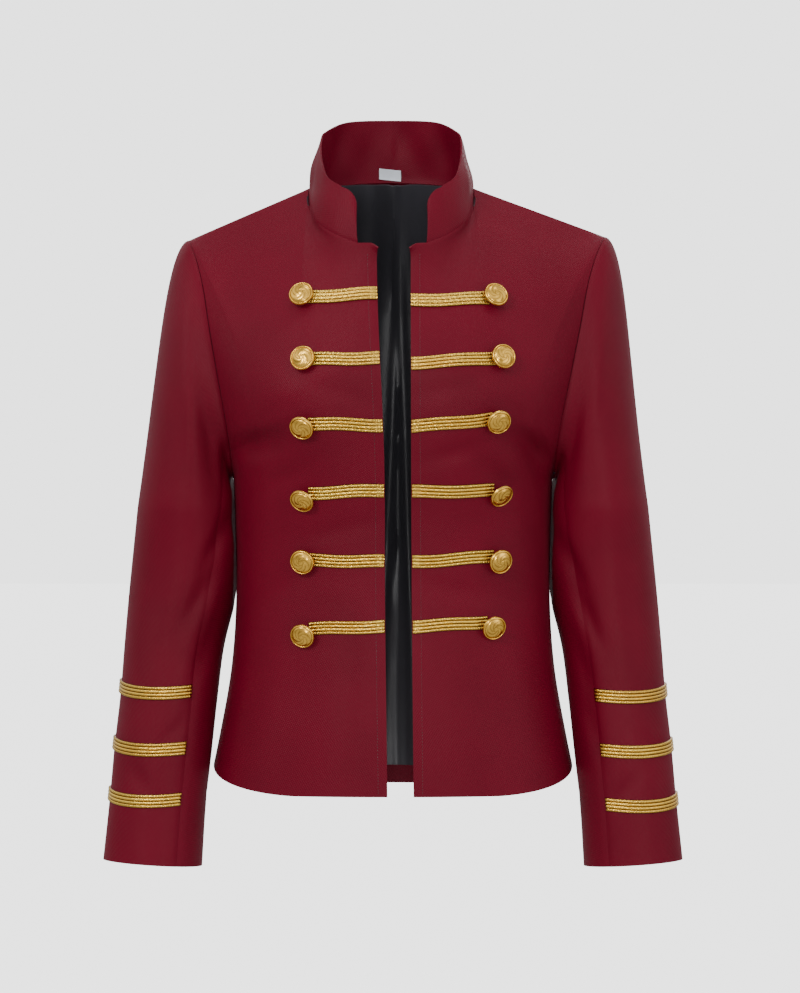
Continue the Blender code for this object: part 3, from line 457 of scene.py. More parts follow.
def torso_y(side, x, z, face):
    """The body's surface: how far forward (face -1) or back (face 1) it is at x and z."""
    _, front, back, square = section(z)
    depth = np.where(face < 0, front, back)
    across = (1 - np.clip(x / half_width(side, z, face), 0, 1) ** square) ** (1 / square)
    over = rolled(side, x, z, face)
    bust = BUST_RISE * np.exp(-(((x - BUST_X) ** 2 + (z - BUST_Z) ** 2) / BUST_SPREAD**2))
    y = (depth * across + np.where(face < 0, bust * np.sqrt(across), 0)) * over
    folds = troughs(FOLDS, side.sign, face, x, z)
    creases = bpy.context.scene.jacket_cloth.creases * troughs(BODY_CREASES, side.sign, face, x, z)
    return face * (y - (folds + creases) * np.sqrt(across))


def front_edge(side, z):
    """How far the front edge is from the middle."""
    heights = (HEM_Z, (HEM_Z + EDGE_CHEST_Z) / 2, EDGE_CHEST_Z, NOTCH_Z)
    places = (side.edge_hem, (side.edge_hem + 2 * side.edge_chest) / 3, side.edge_chest, side.edge_top)
    return smooth(z, heights, places)


def neckline(side, t):
    """The neckline at t, counted in rows of its table: its points, the collar's height and its lean."""
    rows = np.array([(row.share_x * side.neck_x, *row[2:]) for row in NECKLINE])
    rows = np.vstack((rows, rows[-2] * (-1, 1, 1, 1, 1)))
    found = smooth(t, np.arange(len(rows)), rows)
    return found[..., :3], found[..., 3], found[..., 4]


def armhole(side, angle):
    """The armhole seam; the angle is 0 at the shoulder, and the front is from 0 to pi."""
    middle = (side.shoulder_z + UNDERARM_Z) / 2
    half_height = (side.shoulder_z - UNDERARM_Z) / 2
    z = middle + half_height * np.cos(angle)
    x = armhole_x(side, z)
    face = np.where(np.sin(angle) >= 0, -1, 1)
    ends = np.abs(np.sin(angle)) < 1e-6
    y = np.where(ends, 0, torso_y(side, x, z, face))
    return np.stack((x, y, z), axis=-1)


def between(start, end, steps):
    """Points on a straight line, without its end."""
    share = np.arange(steps)[:, None] / steps
    return start + (end - start) * share


def walked(points):
    """How far along a line of points each one is."""
    return np.r_[0, np.cumsum(np.linalg.norm(np.diff(points, axis=0), axis=1))]


def top_boundary(side, face):
    """The top ends of a panel's columns, from the front edge or the middle of the back to the underarm."""
    if face < 0:
        edge = front_edge(side, NOTCH_Z)
        low = np.array((edge, 0, NOTCH_Z - NOTCH_CORNER))
        high = np.array((edge + NOTCH_CORNER, 0, NOTCH_Z))
        low[1] = torso_y(side, low[0], low[2], face)
        high[1] = torso_y(side, high[0], high[2], face)
        neck = neckline(side, np.linspace(0, NECK_POINT_ROW, NECK_STEPS + 1))[0]
        neck = np.vstack((between(low, high, FINE), between(high, neck[0], FINE), neck))
    else:
        neck = neckline(side, np.linspace(len(NECKLINE) - 1, NECK_POINT_ROW, NECK_STEPS + 1))[0]
    xs = np.linspace(side.neck_x, side.shoulder_x, SHOULDER_STEPS + 1)[1:]
    shoulder = np.stack((xs, 0 * xs, shoulder_height(side, xs)), axis=-1)
    turn = np.pi * np.arange(1, ARMHOLE_STEPS + 1) / ARMHOLE_STEPS
    return np.vstack((neck, shoulder, armhole(side, turn * -face)))


def body_grid(side, face):
    """The half of a body panel on one side: rows from the hem up, columns from the middle to the side seam."""
    top = top_boundary(side, face)
    walk = walked(top)
    even = np.arange(len(top)) / (len(top) - 1)
    hem_share = WALKED_SHARE * walk / walk[-1] + (1 - WALKED_SHARE) * even
    side_share = np.clip((hem_share - HEM_RISE_START) / (1 - HEM_RISE_START), 0, 1)
    hem = HEM_Z + HEM_RISE * side_share**HEM_RISE_POWER
    v = np.arange(BODY_ROWS + 1)[:, None] / BODY_ROWS
    z = hem + (top[:, 2] - hem) * (1 - (1 - v) ** ROW_CROWDING)
    low_width = section(np.minimum(z, UNDERARM_Z))[0]
    turn_z = UNDERARM_Z - TURN_BELOW
    spread = 1 - (1 - hem_share) ** UNDERARM_SPREAD
    low_rise = np.clip((z - HEM_Z) / (turn_z - HEM_Z), 0, 1) ** 2
    outer_part = np.clip((hem_share - SPREAD_FROM) / (SPREAD_FULL - SPREAD_FROM), 0, 1)
    column_share = hem_share + (spread - hem_share) * low_rise * outer_part
    edge = front_edge(side, z) if face < 0 else 0 * z
    x = edge + (low_width - edge) * np.sin(np.pi / 2 * column_share)
    climb = np.clip((z - turn_z) / (top[:, 2] - turn_z), 0, 1) ** 2
    x = x + (top[:, 0] - x) * climb
    y = torso_y(side, x, z, face)
    miss = top[:, 1] - torso_y(side, top[:, 0], top[:, 2], face)
    near = np.clip(1 - (top[:, 2] - z) / TOP_BLEND, 0, 1)
    y = y + miss * near * near * (3 - 2 * near)
    points = np.stack((x, y, z), axis=-1)
    points[-1] = top
    shoulder_end = len(top) - 1 - ARMHOLE_STEPS
    columns = np.clip((shoulder_end - np.arange(len(top))) / (2 * FINE), 0, 1)
    relax(points, np.clip(1 - (top[:, 2] - z) / RELAX_DOWN, 0, 1) * columns, face < 0)
    points[..., 0] *= side.sign
    return points


def relax(points, share, free_edge):
    """Evens out how far forward the inner points are, by their share, so that the cloth lies without a ridge.

    The first column follows the second one where the grid has a free edge there.
    """
    x, y, z = points[..., 0], points[..., 1], points[..., 2]
    inner = (slice(1, -1), slice(1, -1))
    beside = np.maximum(np.diff(x, axis=1), 1e-4)[1:-1]
    above = np.maximum(np.diff(z, axis=0), 1e-4)[:, 1:-1]
    near_left = beside[:, 1:] / (beside[:, 1:] + beside[:, :-1])
    near_low = above[1:] / (above[1:] + above[:-1])
    drop = z[inner] - z[1:-1, :-2] * near_left - z[1:-1, 2:] * (1 - near_left)
    drop = np.clip(drop / (above[1:] + above[:-1]), -0.5, 0.5)
    level = 1 / (1 + beside[:, 1:] * beside[:, :-1] / (above[1:] * above[:-1]))
    for _ in range(RELAX_ROUNDS):
        low, high = y[:-2, 1:-1], y[2:, 1:-1]
        across = y[1:-1, :-2] * near_left + y[1:-1, 2:] * (1 - near_left) + (high - low) * drop
        upward = low * near_low + high * (1 - near_low)
        y[inner] += (across * level + upward * (1 - level) - y[inner]) * share[inner]
        if free_edge:
            y[1:-1, 0] += (y[1:-1, 1] - y[1:-1, 0]) * share[1:-1, 0]


def body_section_x(y, z):
    """How far out the body's side is at y, below the underarm."""
    width, front, back, square = section(z)
    depth = np.where(y < 0, front, back)
    return width * (1 - np.clip(np.abs(y) / depth, 0, 1) ** square) ** (1 / square)


def sleeve_ring(at, angle):
    """The sleeve's ring at a height of its table; the angle is 0 at the outside, and the front is from 0 to pi."""
    heights = [row.z for row in reversed(SLEEVE)]
    outer, inner, centre_y, half_depth = smooth(np.array([at]), heights, [row[2:] for row in reversed(SLEEVE)])[0]
    half = (outer - inner) / 2
    low = (SLEEVE[0].z - at) / (SLEEVE[0].z - SLEEVE[-1].z)
    x = (outer + inner) / 2 + half * np.cos(angle)
    y = centre_y - half_depth * np.sin(angle)
    z = at + CUFF_TILT * low * half * np.cos(angle)
    x = np.maximum(x, body_section_x(y, z) + SLEEVE_CLEAR)
    return np.stack((x, y, z), axis=-1)


def head_row(side, angle, t):
    """A row of the sleeve's head: t runs from 0 at the armhole to 1 at the upper arm."""
    start = armhole(side, angle)
    ring = sleeve_ring(SLEEVE[0].z, angle)
    upper = (1 + np.cos(angle)) / 2
    reach = HEAD_REACH + HEAD_REACH_TOP * upper + HEAD_REACH_SIDE * np.sin(angle) ** 2
    out = np.stack((np.ones_like(angle), -HEAD_OUT_SIDE * np.sin(angle), -HEAD_OUT_DOWN * upper), axis=-1)
    rise = np.stack((-HEAD_RISE_IN * upper, 0 * angle, np.ones_like(angle)), axis=-1)
    length = np.linalg.norm(start - ring, axis=1)
    first = start + out * reach[:, None]
    second = ring + rise * (HEAD_RISE * length)[:, None]
    return (1 - t) ** 3 * start + 3 * t * (1 - t) ** 2 * first + 3 * t * t * (1 - t) * second + t**3 * ring


def sleeve_grid(side):
    """A whole sleeve: rows from the armhole down to the cuff, columns from the back seam round to it again."""
    heights = np.linspace(SLEEVE[0].z, SLEEVE[-1].z, ARM_ROWS + 1)
    table = np.arange(1, len(SLEEVE) + 1)
    ring_rows = np.interp(-heights, [-ring.z for ring in SLEEVE], table)
    rows = []
    for row, at in [(t, None) for t in np.arange(HEAD_ROWS) / HEAD_ROWS] + list(zip(ring_rows, heights)):
        front, back = (smooth(row, np.arange(len(seam)), seam) for seam in (FRONT_SEAM, BACK_SEAM))
        angle = np.r_[
            np.linspace(back - 2 * np.pi, front, UPPER_STEPS + 1), np.linspace(front, back, UNDER_STEPS + 1)[1:]
        ]
        rows.append(head_row(side, angle, row) if at is None else sleeve_ring(at, angle))
    points = np.array(rows)
    middle_y = points[..., 1].mean(axis=1, keepdims=True)
    face = np.where(points[..., 1] < middle_y, -1, 1)
    away = np.abs(points[..., 1] - middle_y) / np.abs(points[..., 1] - middle_y).max(axis=1, keepdims=True)
    depth = troughs(SLEEVE_CREASES, side.sign, face, points[..., 0], points[..., 2])
    rise = np.clip(np.arange(len(points)) / (HEAD_ROWS / 2), 0, 1)[:, None]
    depth = bpy.context.scene.jacket_cloth.creases * depth * away * rise
    points[..., 0] *= side.sign
    return points - sleeve_ways(side, points) * depth[..., None]


def sleeve_ways(side, tube):
    """The ways out of a sleeve, with one column more at each end for the slopes over its seam."""
    closed = np.concatenate((tube[:, -2:-1], tube, tube[:, 1:2]), axis=1)
    return out_of_cloth(closed, upright(side.sign * SLEEVE_MIDDLE_X))[:, 1:-1]


def out_of_cloth(points, outside):
    """The way out of the cloth at each point of a grid."""
    ways = np.cross(np.gradient(points, axis=0), np.gradient(points, axis=1))
    if (ways * outside(points)).sum() < 0:
        ways = -ways
    return ways / np.maximum(np.linalg.norm(ways, axis=2)[..., None], 1e-12)


def upright(x=0.0):
    """What gives the ways out from an upright axis at x."""
    return lambda points: (points - (x, 0, 0)) * (1, 1, 0)


# Meshes.


def surface_map(points):
    """A map of the cloth in metres: how far each point is along its row and up its column."""
    across = np.linalg.norm(np.diff(points, axis=1), axis=2)
    up = np.linalg.norm(np.diff(points, axis=0), axis=2)
    u = np.concatenate((np.zeros((len(points), 1)), np.cumsum(across, axis=1)), axis=1)
    v = np.concatenate((np.zeros((1, points.shape[1])), np.cumsum(up, axis=0)), axis=0)
    return np.stack((u - u.mean(axis=1, keepdims=True), v), axis=-1)


def wall_mesh(name, outer, inner, materials, inside=None):
    """A closed wall between two grids of points; inside says where the inner face takes the second material."""
    rows, columns = outer.shape[:2]
    index = np.arange(rows * columns).reshape(rows, columns)
    quads = np.stack((index[:-1, :-1], index[:-1, 1:], index[1:, 1:], index[1:, :-1]), axis=-1).reshape(-1, 4)
    ring = np.array([*index[0], *index[1:, -1], *index[-1, -2::-1], *index[-2:0:-1, 0]])
    after = np.roll(ring, -1)
    count = rows * columns
    rim = np.stack((after, ring, ring + count, after + count), axis=-1)
    faces = np.vstack((quads, quads[:, ::-1] + count, rim))
    points = np.concatenate((outer.reshape(-1, 3), inner.reshape(-1, 3)))
    first = points[quads]
    normal = np.cross(first[:, 1] - first[:, 0], first[:, 3] - first[:, 0])
    if (normal * (outer - inner).reshape(-1, 3)[quads[:, 0]]).sum() < 0:
        faces = faces[:, ::-1]
    mesh = bpy.data.meshes.new(name)
    mesh.from_pydata(points.tolist(), [], faces.tolist())
    for material in materials:
        mesh.materials.append(material)
    if inside is not None:
        marks = np.zeros(len(faces), dtype=np.int32)
        marks[len(quads) : 2 * len(quads)] = inside[:-1, :-1].reshape(-1)
        mesh.polygons.foreach_set("material_index", marks)
    place = np.tile(surface_map(outer).reshape(-1, 2), (2, 1))
    corner = np.zeros(len(mesh.loops), dtype=np.int32)
    mesh.loops.foreach_get("vertex_index", corner)
    mesh.uv_layers.new(name="cloth").data.foreach_set("uv", place[corner].ravel())
    mesh.shade_smooth()
    mesh.set_sharp_from_angle(angle=math.radians(50))
    mesh.update()
    return mesh


def linked(name, data):
    """A new object in the scene."""
    obj = bpy.data.objects.new(name, data)
    bpy.context.scene.collection.objects.link(obj)
    return obj


def add(name, mesh, nodes=(), slot=None):
    """A finished piece that rides on the body and stands for its nodes."""
    obj = linked(name, mesh)
    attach(obj, "root")
    if nodes:
        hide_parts(*nodes)
    return obj


def rolled_edges(points, ways, edges):
    """The grid with its sewn edges turned a little inwards, as cloth is at a seam."""
    moved = points.copy()
    for at, depth in enumerate(EDGE_ROLL):
        strips = {"top": (-1 - at,), "bottom": (at,), "first": (slice(None), at), "last": (slice(None), -1 - at)}
        for edge in edges:
            moved[strips[edge]] -= ways[strips[edge]] * depth
    return moved


def declare(obj, points):
    """Measures a sheet's own cut: its longest row, its longest column and its area; nothing is done with them."""
    across = np.linalg.norm(np.diff(points, axis=1), axis=2).sum(axis=1).max()
    up = np.linalg.norm(np.diff(points, axis=0), axis=2).sum(axis=0).max()
    one, two = points[1:, :-1] - points[:-1, :-1], points[:-1, 1:] - points[:-1, :-1]
    three, four = points[1:, :-1] - points[1:, 1:], points[:-1, 1:] - points[1:, 1:]
    area = (np.linalg.norm(np.cross(one, two), axis=2) + np.linalg.norm(np.cross(three, four), axis=2)).sum() / 2
    width, length = math.ceil(across * 1000) / 1000, math.ceil(up * 1000) / 1000
    area = min(max(area, 0.301 * width * length), width * length)


def panel(name, node, points, ways, edges, inside=None, slot="red_cloth"):
    """A cloth panel in place of its node."""
    cloth = bpy.context.scene.jacket_cloth
    outer = rolled_edges(points, ways, edges)
    first = satin_material() if slot == "black_lining" else red_material()
    mesh = wall_mesh(name, outer, outer - ways * cloth.thickness, (first, satin_material()), inside)
    return add(name, mesh, (node,), slot)


def surface_of(*names):
    """The outside of finished pieces, to lay other pieces on."""
    points, faces = [], []
    for name in names:
        mesh = bpy.data.objects[name].data
        faces += [tuple(len(points) + k for k in polygon.vertices) for polygon in mesh.polygons]
        points += [tuple(vertex.co) for vertex in mesh.vertices]
    return BVHTree.FromPolygons(points, faces)


def edge_x(side, z):
    """How far from the middle the finished front's edge is at this height."""
    edge = outer_grid(f"front_{side.name}_cloth")[:, 0]
    return np.interp(z, edge[:, 2], np.abs(edge[:, 0]))


def laid(tree, start, way):
    """Where a ray first meets a surface, and the way out of it there."""
    for nudge in RAY_NUDGES:
        hit, normal, _, _ = tree.ray_cast(start + Vector(nudge), way)
        if hit is not None:
            break
    else:
        raise ValueError(f"nothing to lie on from {tuple(round(v, 4) for v in start)}")
    return hit, (normal if normal.dot(way) < 0 else -normal)


# Materials.


def fill(tree, made, **values):
    """Sets a node's inputs, by name or, such as i0, by number, and links those that are given a socket."""
    for key, value in values.items():
        numbered = key[0] == "i" and key[1:].isdigit()
        socket = made.inputs[int(key[1:]) if numbered else key.replace("_", " ")]
        if isinstance(value, bpy.types.NodeSocket):
            tree.links.new(value, socket)
        else:
            socket.default_value = value


def node(tree, kind, **values):
    """A new node with its properties set and its inputs filled."""
    made = tree.nodes.new(kind)
    for key, value in values.items():
        if hasattr(made, key) and key not in made.inputs:
            setattr(made, key, value)
        else:
            fill(tree, made, **{key: value})
    return made


def mixed(tree, factor, first, second):
    """A colour from the first, at factor 0, to the second, at factor 1; each is a colour or a socket."""
    first, second = (c if isinstance(c, bpy.types.NodeSocket) else (*c, 1) for c in (first, second))
    return node(tree, "ShaderNodeMix", data_type="RGBA", i0=factor, i6=first, i7=second).outputs[2]


def math_of(tree, operation, first, second=0.0):
    """The result of a math node."""
    return node(tree, "ShaderNodeMath", operation=operation, i0=first, i1=second).outputs[0]


def group_tree(name, inputs, outputs):
    """A new shader node group; its inputs are numbers with their defaults, and its outputs are numbers."""
    tree = bpy.data.node_groups.new(name, "ShaderNodeTree")
    for title, value in inputs.items():
        tree.interface.new_socket(title, in_out="INPUT", socket_type="NodeSocketFloat").default_value = value
    for title in outputs:
        tree.interface.new_socket(title, in_out="OUTPUT", socket_type="NodeSocketFloat")
    return tree, tree.nodes.new("NodeGroupInput").outputs, tree.nodes.new("NodeGroupOutput").inputs


def weave_group():
    """Crossing threads at a slant, on the cloth's own map: their height, and their painted shade from 0 to 1, dark
    between the threads and light on their tops.
    """
    if "woven threads" in bpy.data.node_groups:
        return bpy.data.node_groups["woven threads"]
    defaults = {"Thread": 0.0012, "Slant": 0.8, "Uneven": 0.3}
    tree, given, out = group_tree("woven threads", defaults, ("Height", "Shade"))
    place = node(tree, "ShaderNodeUVMap", uv_map="cloth").outputs[0]
    turns = math_of(tree, "DIVIDE", 2 * math.pi, given["Thread"])
    waves = []
    for more, share in ((0.0, 1.0), (CROSSING_ANGLE, CROSSING_SHARE)):
        angle = math_of(tree, "ADD", given["Slant"], more)
        turned = node(tree, "ShaderNodeVectorRotate", Vector=place, Angle=angle).outputs[0]
        x = node(tree, "ShaderNodeSeparateXYZ", Vector=turned).outputs[0]
        wave = math_of(tree, "SINE", math_of(tree, "MULTIPLY", x, turns))
        waves.append(math_of(tree, "MULTIPLY", wave, share))
    noise = node(tree, "ShaderNodeTexNoise", Vector=place, Scale=700.0, Detail=2.0).outputs[0]
    rough = math_of(tree, "MULTIPLY", math_of(tree, "SUBTRACT", noise, 0.5), given["Uneven"])
    height = math_of(tree, "ADD", math_of(tree, "ADD", *waves), rough)
    # Painted shade: the threads' height as a shade, dark where low and light where high.
    shade = node(tree, "ShaderNodeMapRange", i0=height, i1=-WEAVE_RANGE, i2=WEAVE_RANGE).outputs[0]
    tree.links.new(height, out["Height"])
    tree.links.new(shade, out["Shade"])
    return tree


def patches_group():
    """Slow uneven patches over a piece, from 0 to 1."""
    if "slow patches" in bpy.data.node_groups:
        return bpy.data.node_groups["slow patches"]
    tree, given, out = group_tree("slow patches", {"Scale": 9.0, "Contrast": 1.0}, ("Mask",))
    place = node(tree, "ShaderNodeTexCoord").outputs["Object"]
    noise = node(tree, "ShaderNodeTexNoise", Vector=place, Scale=given["Scale"], Detail=3.0, Roughness=0.55).outputs[0]
    contrast = math_of(tree, "MULTIPLY", given["Contrast"], PATCH_CONTRAST)
    wide = math_of(tree, "MULTIPLY", math_of(tree, "SUBTRACT", noise, 0.5), contrast)
    tree.links.new(node(tree, "ShaderNodeClamp", i0=math_of(tree, "ADD", wide, 0.5)).outputs[0], out["Mask"])
    return tree


def new_shader(name):
    """A new material, its nodes and its main shader."""
    material = bpy.data.materials.new(name)
    material.use_nodes = True
    return material, material.node_tree, material.node_tree.nodes["Principled BSDF"]


def woven_material(name, dark, light, roughness, thread, slant, bump, uneven=0.3, **constant):
    """A woven material: two colours mixed by slow patches of uneven tone and by the threads' painted shade, with the
    threads as bump.
    """
    if name in bpy.data.materials:
        return bpy.data.materials[name]
    material, tree, shader = new_shader(name)
    weave = node(tree, "ShaderNodeGroup", node_tree=weave_group(), Thread=thread, Slant=slant, Uneven=uneven).outputs
    patches = node(tree, "ShaderNodeGroup", node_tree=patches_group(), Scale=11.0, Contrast=1.0).outputs
    slow = math_of(tree, "MULTIPLY", patches[0], PATCH_SHARE)
    factor = math_of(tree, "ADD", slow, math_of(tree, "MULTIPLY", weave["Shade"], 1 - PATCH_SHARE))
    most, least = roughness + ROUGHNESS_SWING, roughness - ROUGHNESS_SWING
    rough = node(tree, "ShaderNodeMapRange", i0=factor, i3=most, i4=least).outputs[0]
    raised = node(tree, "ShaderNodeBump", Strength=bump, Distance=0.0002, Height=weave["Height"]).outputs[0]
    # The lighter colour on the threads' tops and the darker one between them is painted shade; the patches are uneven
    # tone.
    colour = mixed(tree, factor, dark, light)
    fill(tree, shader, Base_Color=colour, Roughness=rough, Normal=raised, **constant)
    return material


def shades(colour, low, high):
    """A darker and a lighter shade of a colour."""
    return tuple(c * low for c in colour), tuple(min(c * high, 1) for c in colour)


def of_gold(shares):
    """The trim's gold with its red, green and blue each by its share."""
    return tuple(c * share for c, share in zip(bpy.context.scene.jacket_trim.gold, shares))


def red_material():
    """Burgundy cloth, with a faint pink sheen."""
    dark, light = shades(bpy.context.scene.jacket_cloth.red, 0.82, 1.16)
    sheen = {"Sheen_Weight": 0.05, "Sheen_Roughness": 0.35, "Sheen_Tint": (1.0, 0.25, 0.35, 1.0)}
    return woven_material("red cloth", dark, light, 0.46, 0.0019, 0.62, 0.30, Specular_IOR_Level=0.13, **sheen)


def satin_material():
    """Black satin."""
    dark, light = shades(bpy.context.scene.jacket_cloth.lining, 0.75, 1.25)
    finish = {"Sheen_Weight": 0.05, "Specular_IOR_Level": 0.55}
    return woven_material("black satin", dark, light, 0.36, 0.0011, 1.2, 0.12, **finish)


def label_material():
    """White ribbon."""
    dark, light = shades(bpy.context.scene.jacket_cloth.label, 0.92, 1.05)
    return woven_material("white label", dark, light, 0.55, 0.0008, 0.0, 0.25, Sheen_Weight=0.1)


def thread_material():
    """Sewing thread, darker than the cloth."""
    dark, light = shades(bpy.context.scene.jacket_cloth.red, 0.45, 0.80)
    return woven_material("red thread", dark, light, 0.42, 0.0004, 0.5, 0.2, Sheen_Weight=0.2)


def hollow_mark(tree):
    """How deep in a hollow of the trim a point is, from 0 to 1, where the trim's materials paint shade."""
    return node(tree, "ShaderNodeAttribute", attribute_name="hollow").outputs["Fac"]


def braid_material():
    """Bright metallic thread: lighter on the threads' tops as a painted highlight and in its slow patches as uneven
    tone, and dark brown as painted shade in the hollows between its ribs.
    """
    if "gold braid" in bpy.data.materials:
        return bpy.data.materials["gold braid"]
    dark, light = shades(bpy.context.scene.jacket_trim.gold, 1.0, 1.55)
    material = woven_material("gold braid", dark, light, 0.19, 0.0011, 0.9, 0.25, uneven=0.9, Metallic=1.0)
    tree = material.node_tree
    base = tree.nodes["Principled BSDF"].inputs["Base Color"]
    # Painted shade: the hollows between the ribs take the dark brown.
    tree.links.new(mixed(tree, hollow_mark(tree), base.links[0].from_socket, of_gold(BRAID_HOLLOW_SHADE)), base)
    return material


def button_material():
    """Gilt metal, browner and rougher where its slow patches are and in the hollows of its ornament, where the brown
    is painted shade, with fine wear as bump.
    """
    if "gold button" in bpy.data.materials:
        return bpy.data.materials["gold button"]
    material, tree, shader = new_shader("gold button")
    patches = node(tree, "ShaderNodeGroup", node_tree=patches_group(), Scale=160.0, Contrast=1.2).outputs[0]
    # Painted shade: the hollows of the ornament and the underside take the brown.
    low = math_of(tree, "MULTIPLY", hollow_mark(tree), 0.75)
    patch_and_shade = math_of(tree, "ADD", math_of(tree, "MULTIPLY", patches, 0.30), low)
    patch_and_shade = node(tree, "ShaderNodeClamp", i0=patch_and_shade).outputs[0]
    rough = node(tree, "ShaderNodeMapRange", i0=patch_and_shade, i3=0.22, i4=0.46).outputs[0]
    place = node(tree, "ShaderNodeTexCoord").outputs["Object"]
    grain = node(tree, "ShaderNodeTexNoise", Vector=place, Scale=2200.0, Detail=2.0).outputs[0]
    raised = node(tree, "ShaderNodeBump", Strength=0.12, Distance=0.0001, Height=grain).outputs[0]
    colour = mixed(tree, patch_and_shade, of_gold(BUTTON_BRIGHT), of_gold(BUTTON_PATCH_AND_SHADE))
    fill(tree, shader, Base_Color=colour, Roughness=rough, Normal=raised, Metallic=1.0)
    return material


# Stitches.


def stitch_tree():
    """Geometry Nodes: rounded stitches laid end to end along a curve."""
    tree = bpy.data.node_groups.new("stitches", "GeometryNodeTree")
    tree.interface.new_socket("Geometry", in_out="INPUT", socket_type="NodeSocketGeometry")
    for title, kind in (("Spacing", "Float"), ("Stitch Length", "Float"), ("Radius", "Float"), ("Thread", "Material")):
        tree.interface.new_socket(title, in_out="INPUT", socket_type=f"NodeSocket{kind}")
    tree.interface.new_socket("Geometry", in_out="OUTPUT", socket_type="NodeSocketGeometry")
    given, out = tree.nodes.new("NodeGroupInput").outputs, tree.nodes.new("NodeGroupOutput").inputs
    even = node(tree, "GeometryNodeResampleCurve", mode="LENGTH", Curve=given["Geometry"], Length=given["Spacing"])
    dome = node(tree, "GeometryNodeMeshUVSphere", Segments=6, Rings=4, Radius=1.0)
    half = math_of(tree, "MULTIPLY", given["Stitch Length"], 0.5)
    size = node(tree, "ShaderNodeCombineXYZ", X=given["Radius"], Y=given["Radius"], Z=half)
    shape = node(tree, "GeometryNodeTransform", Geometry=dome.outputs[0], Scale=size.outputs[0])
    along = node(tree, "GeometryNodeInputTangent").outputs[0]
    turn = node(tree, "FunctionNodeAlignRotationToVector", axis="Z", Vector=along)
    places = {"Points": even.outputs[0], "Rotation": turn.outputs[0]}
    laid_out = node(tree, "GeometryNodeInstanceOnPoints", Instance=shape.outputs[0], **places)
    real = node(tree, "GeometryNodeRealizeInstances", Geometry=laid_out.outputs[0])
    done = node(tree, "GeometryNodeSetMaterial", Geometry=real.outputs[0], Material=given["Thread"])
    tree.links.new(done.outputs[0], out["Geometry"])
    return tree


def stitched(name, path, spacing, length, radius, material, slot):
    """Stitches along a path of points, as one plain mesh."""
    curve = bpy.data.curves.new(name + "_path", "CURVE")
    curve.dimensions = "3D"
    spline = curve.splines.new("POLY")
    spline.points.add(len(path) - 1)
    spline.points.foreach_set("co", np.c_[np.array(path), np.ones(len(path))].ravel())
    guide = linked(name + "_path", curve)
    modifier = guide.modifiers.new("stitches", "NODES")
    modifier.node_group = bpy.data.node_groups.get("stitches") or stitch_tree()
    values = {"Spacing": spacing, "Stitch Length": length, "Radius": radius, "Thread": material}
    for item in modifier.node_group.interface.items_tree:
        if item.item_type == "SOCKET" and item.in_out == "INPUT" and item.name in values:
            modifier[item.identifier] = values[item.name]
    graph = bpy.context.evaluated_depsgraph_get()
    mesh = bpy.data.meshes.new_from_object(guide.evaluated_get(graph))
    guide.modifiers.clear()
    bpy.data.objects.remove(guide)
    if not len(mesh.vertices):
        raise ValueError(f"{name}: no stitches were made")
    mesh.name = name
    mesh.shade_smooth()
    return add(name, mesh, slot=slot)


# The operators, one for each group of pieces.


class JACKET_OT_body(bpy.types.Operator):
    """Makes the two fronts and the back."""

    bl_idname = "jacket.body"
    bl_label = "Fronts and Back"

    def execute(self, context):
        for side in SIDES:
            front = body_grid(side, -1)
            ways = level_seams(out_of_cloth(front, upright()), first=False)
            u, v = surface_map(front)[..., 0], surface_map(front)[..., 1]
            inside = (u - u[:, :1] > FACING) & (v > HEM_BAND)
            panel(f"front_{side.name}_cloth", f"front_{side.name}", front, ways, ("last", "top"), inside)
        points, ways = whole_back()
        panel("back_cloth", "back", points, ways, ("first", "last", "top"))
        return {"FINISHED"}


def whole_back():
    """The back, from its right side seam to its left one, and the ways out of it."""
    right, left = (body_grid(side, 1) for side in SIDES)
    points = np.concatenate((right[:, ::-1], left[:, 1:]), axis=1)
    return points, level_seams(out_of_cloth(points, upright()))


def level_seams(ways, first=True):
    """The ways out of a panel, level with its side seams where it meets the next one."""
    ways = ways.copy()
    for column in (-1, 0) if first else (-1,):
        ways[:, column, 1] = 0
        outwards = np.sign(ways[:, column, 0].sum())
        flat = np.linalg.norm(ways[:, column], axis=1) < 0.05
        ways[flat, column] = (outwards, 0, 0)
    return ways / np.linalg.norm(ways, axis=2)[..., None]


class JACKET_OT_sleeves(bpy.types.Operator):
    """Makes the upper and under part of both sleeves."""

    bl_idname = "jacket.sleeves"
    bl_label = "Sleeves"

    def execute(self, context):
        for side in SIDES:
            tube = sleeve_grid(side)
            ways = sleeve_ways(side, tube)
            for name, columns in (("upper", slice(0, UPPER_STEPS + 1)), ("under", slice(UPPER_STEPS, None))):
                points = tube[:, columns]
                up_from_cuff = surface_map(points)[..., 1]
                inside = up_from_cuff[-1:] - up_from_cuff > CUFF_BAND
                piece = f"sleeve_{name}_{side.name}"
                panel(f"{piece}_cloth", piece, points, ways[:, columns], ("first", "last", "bottom"), inside)
        return {"FINISHED"}


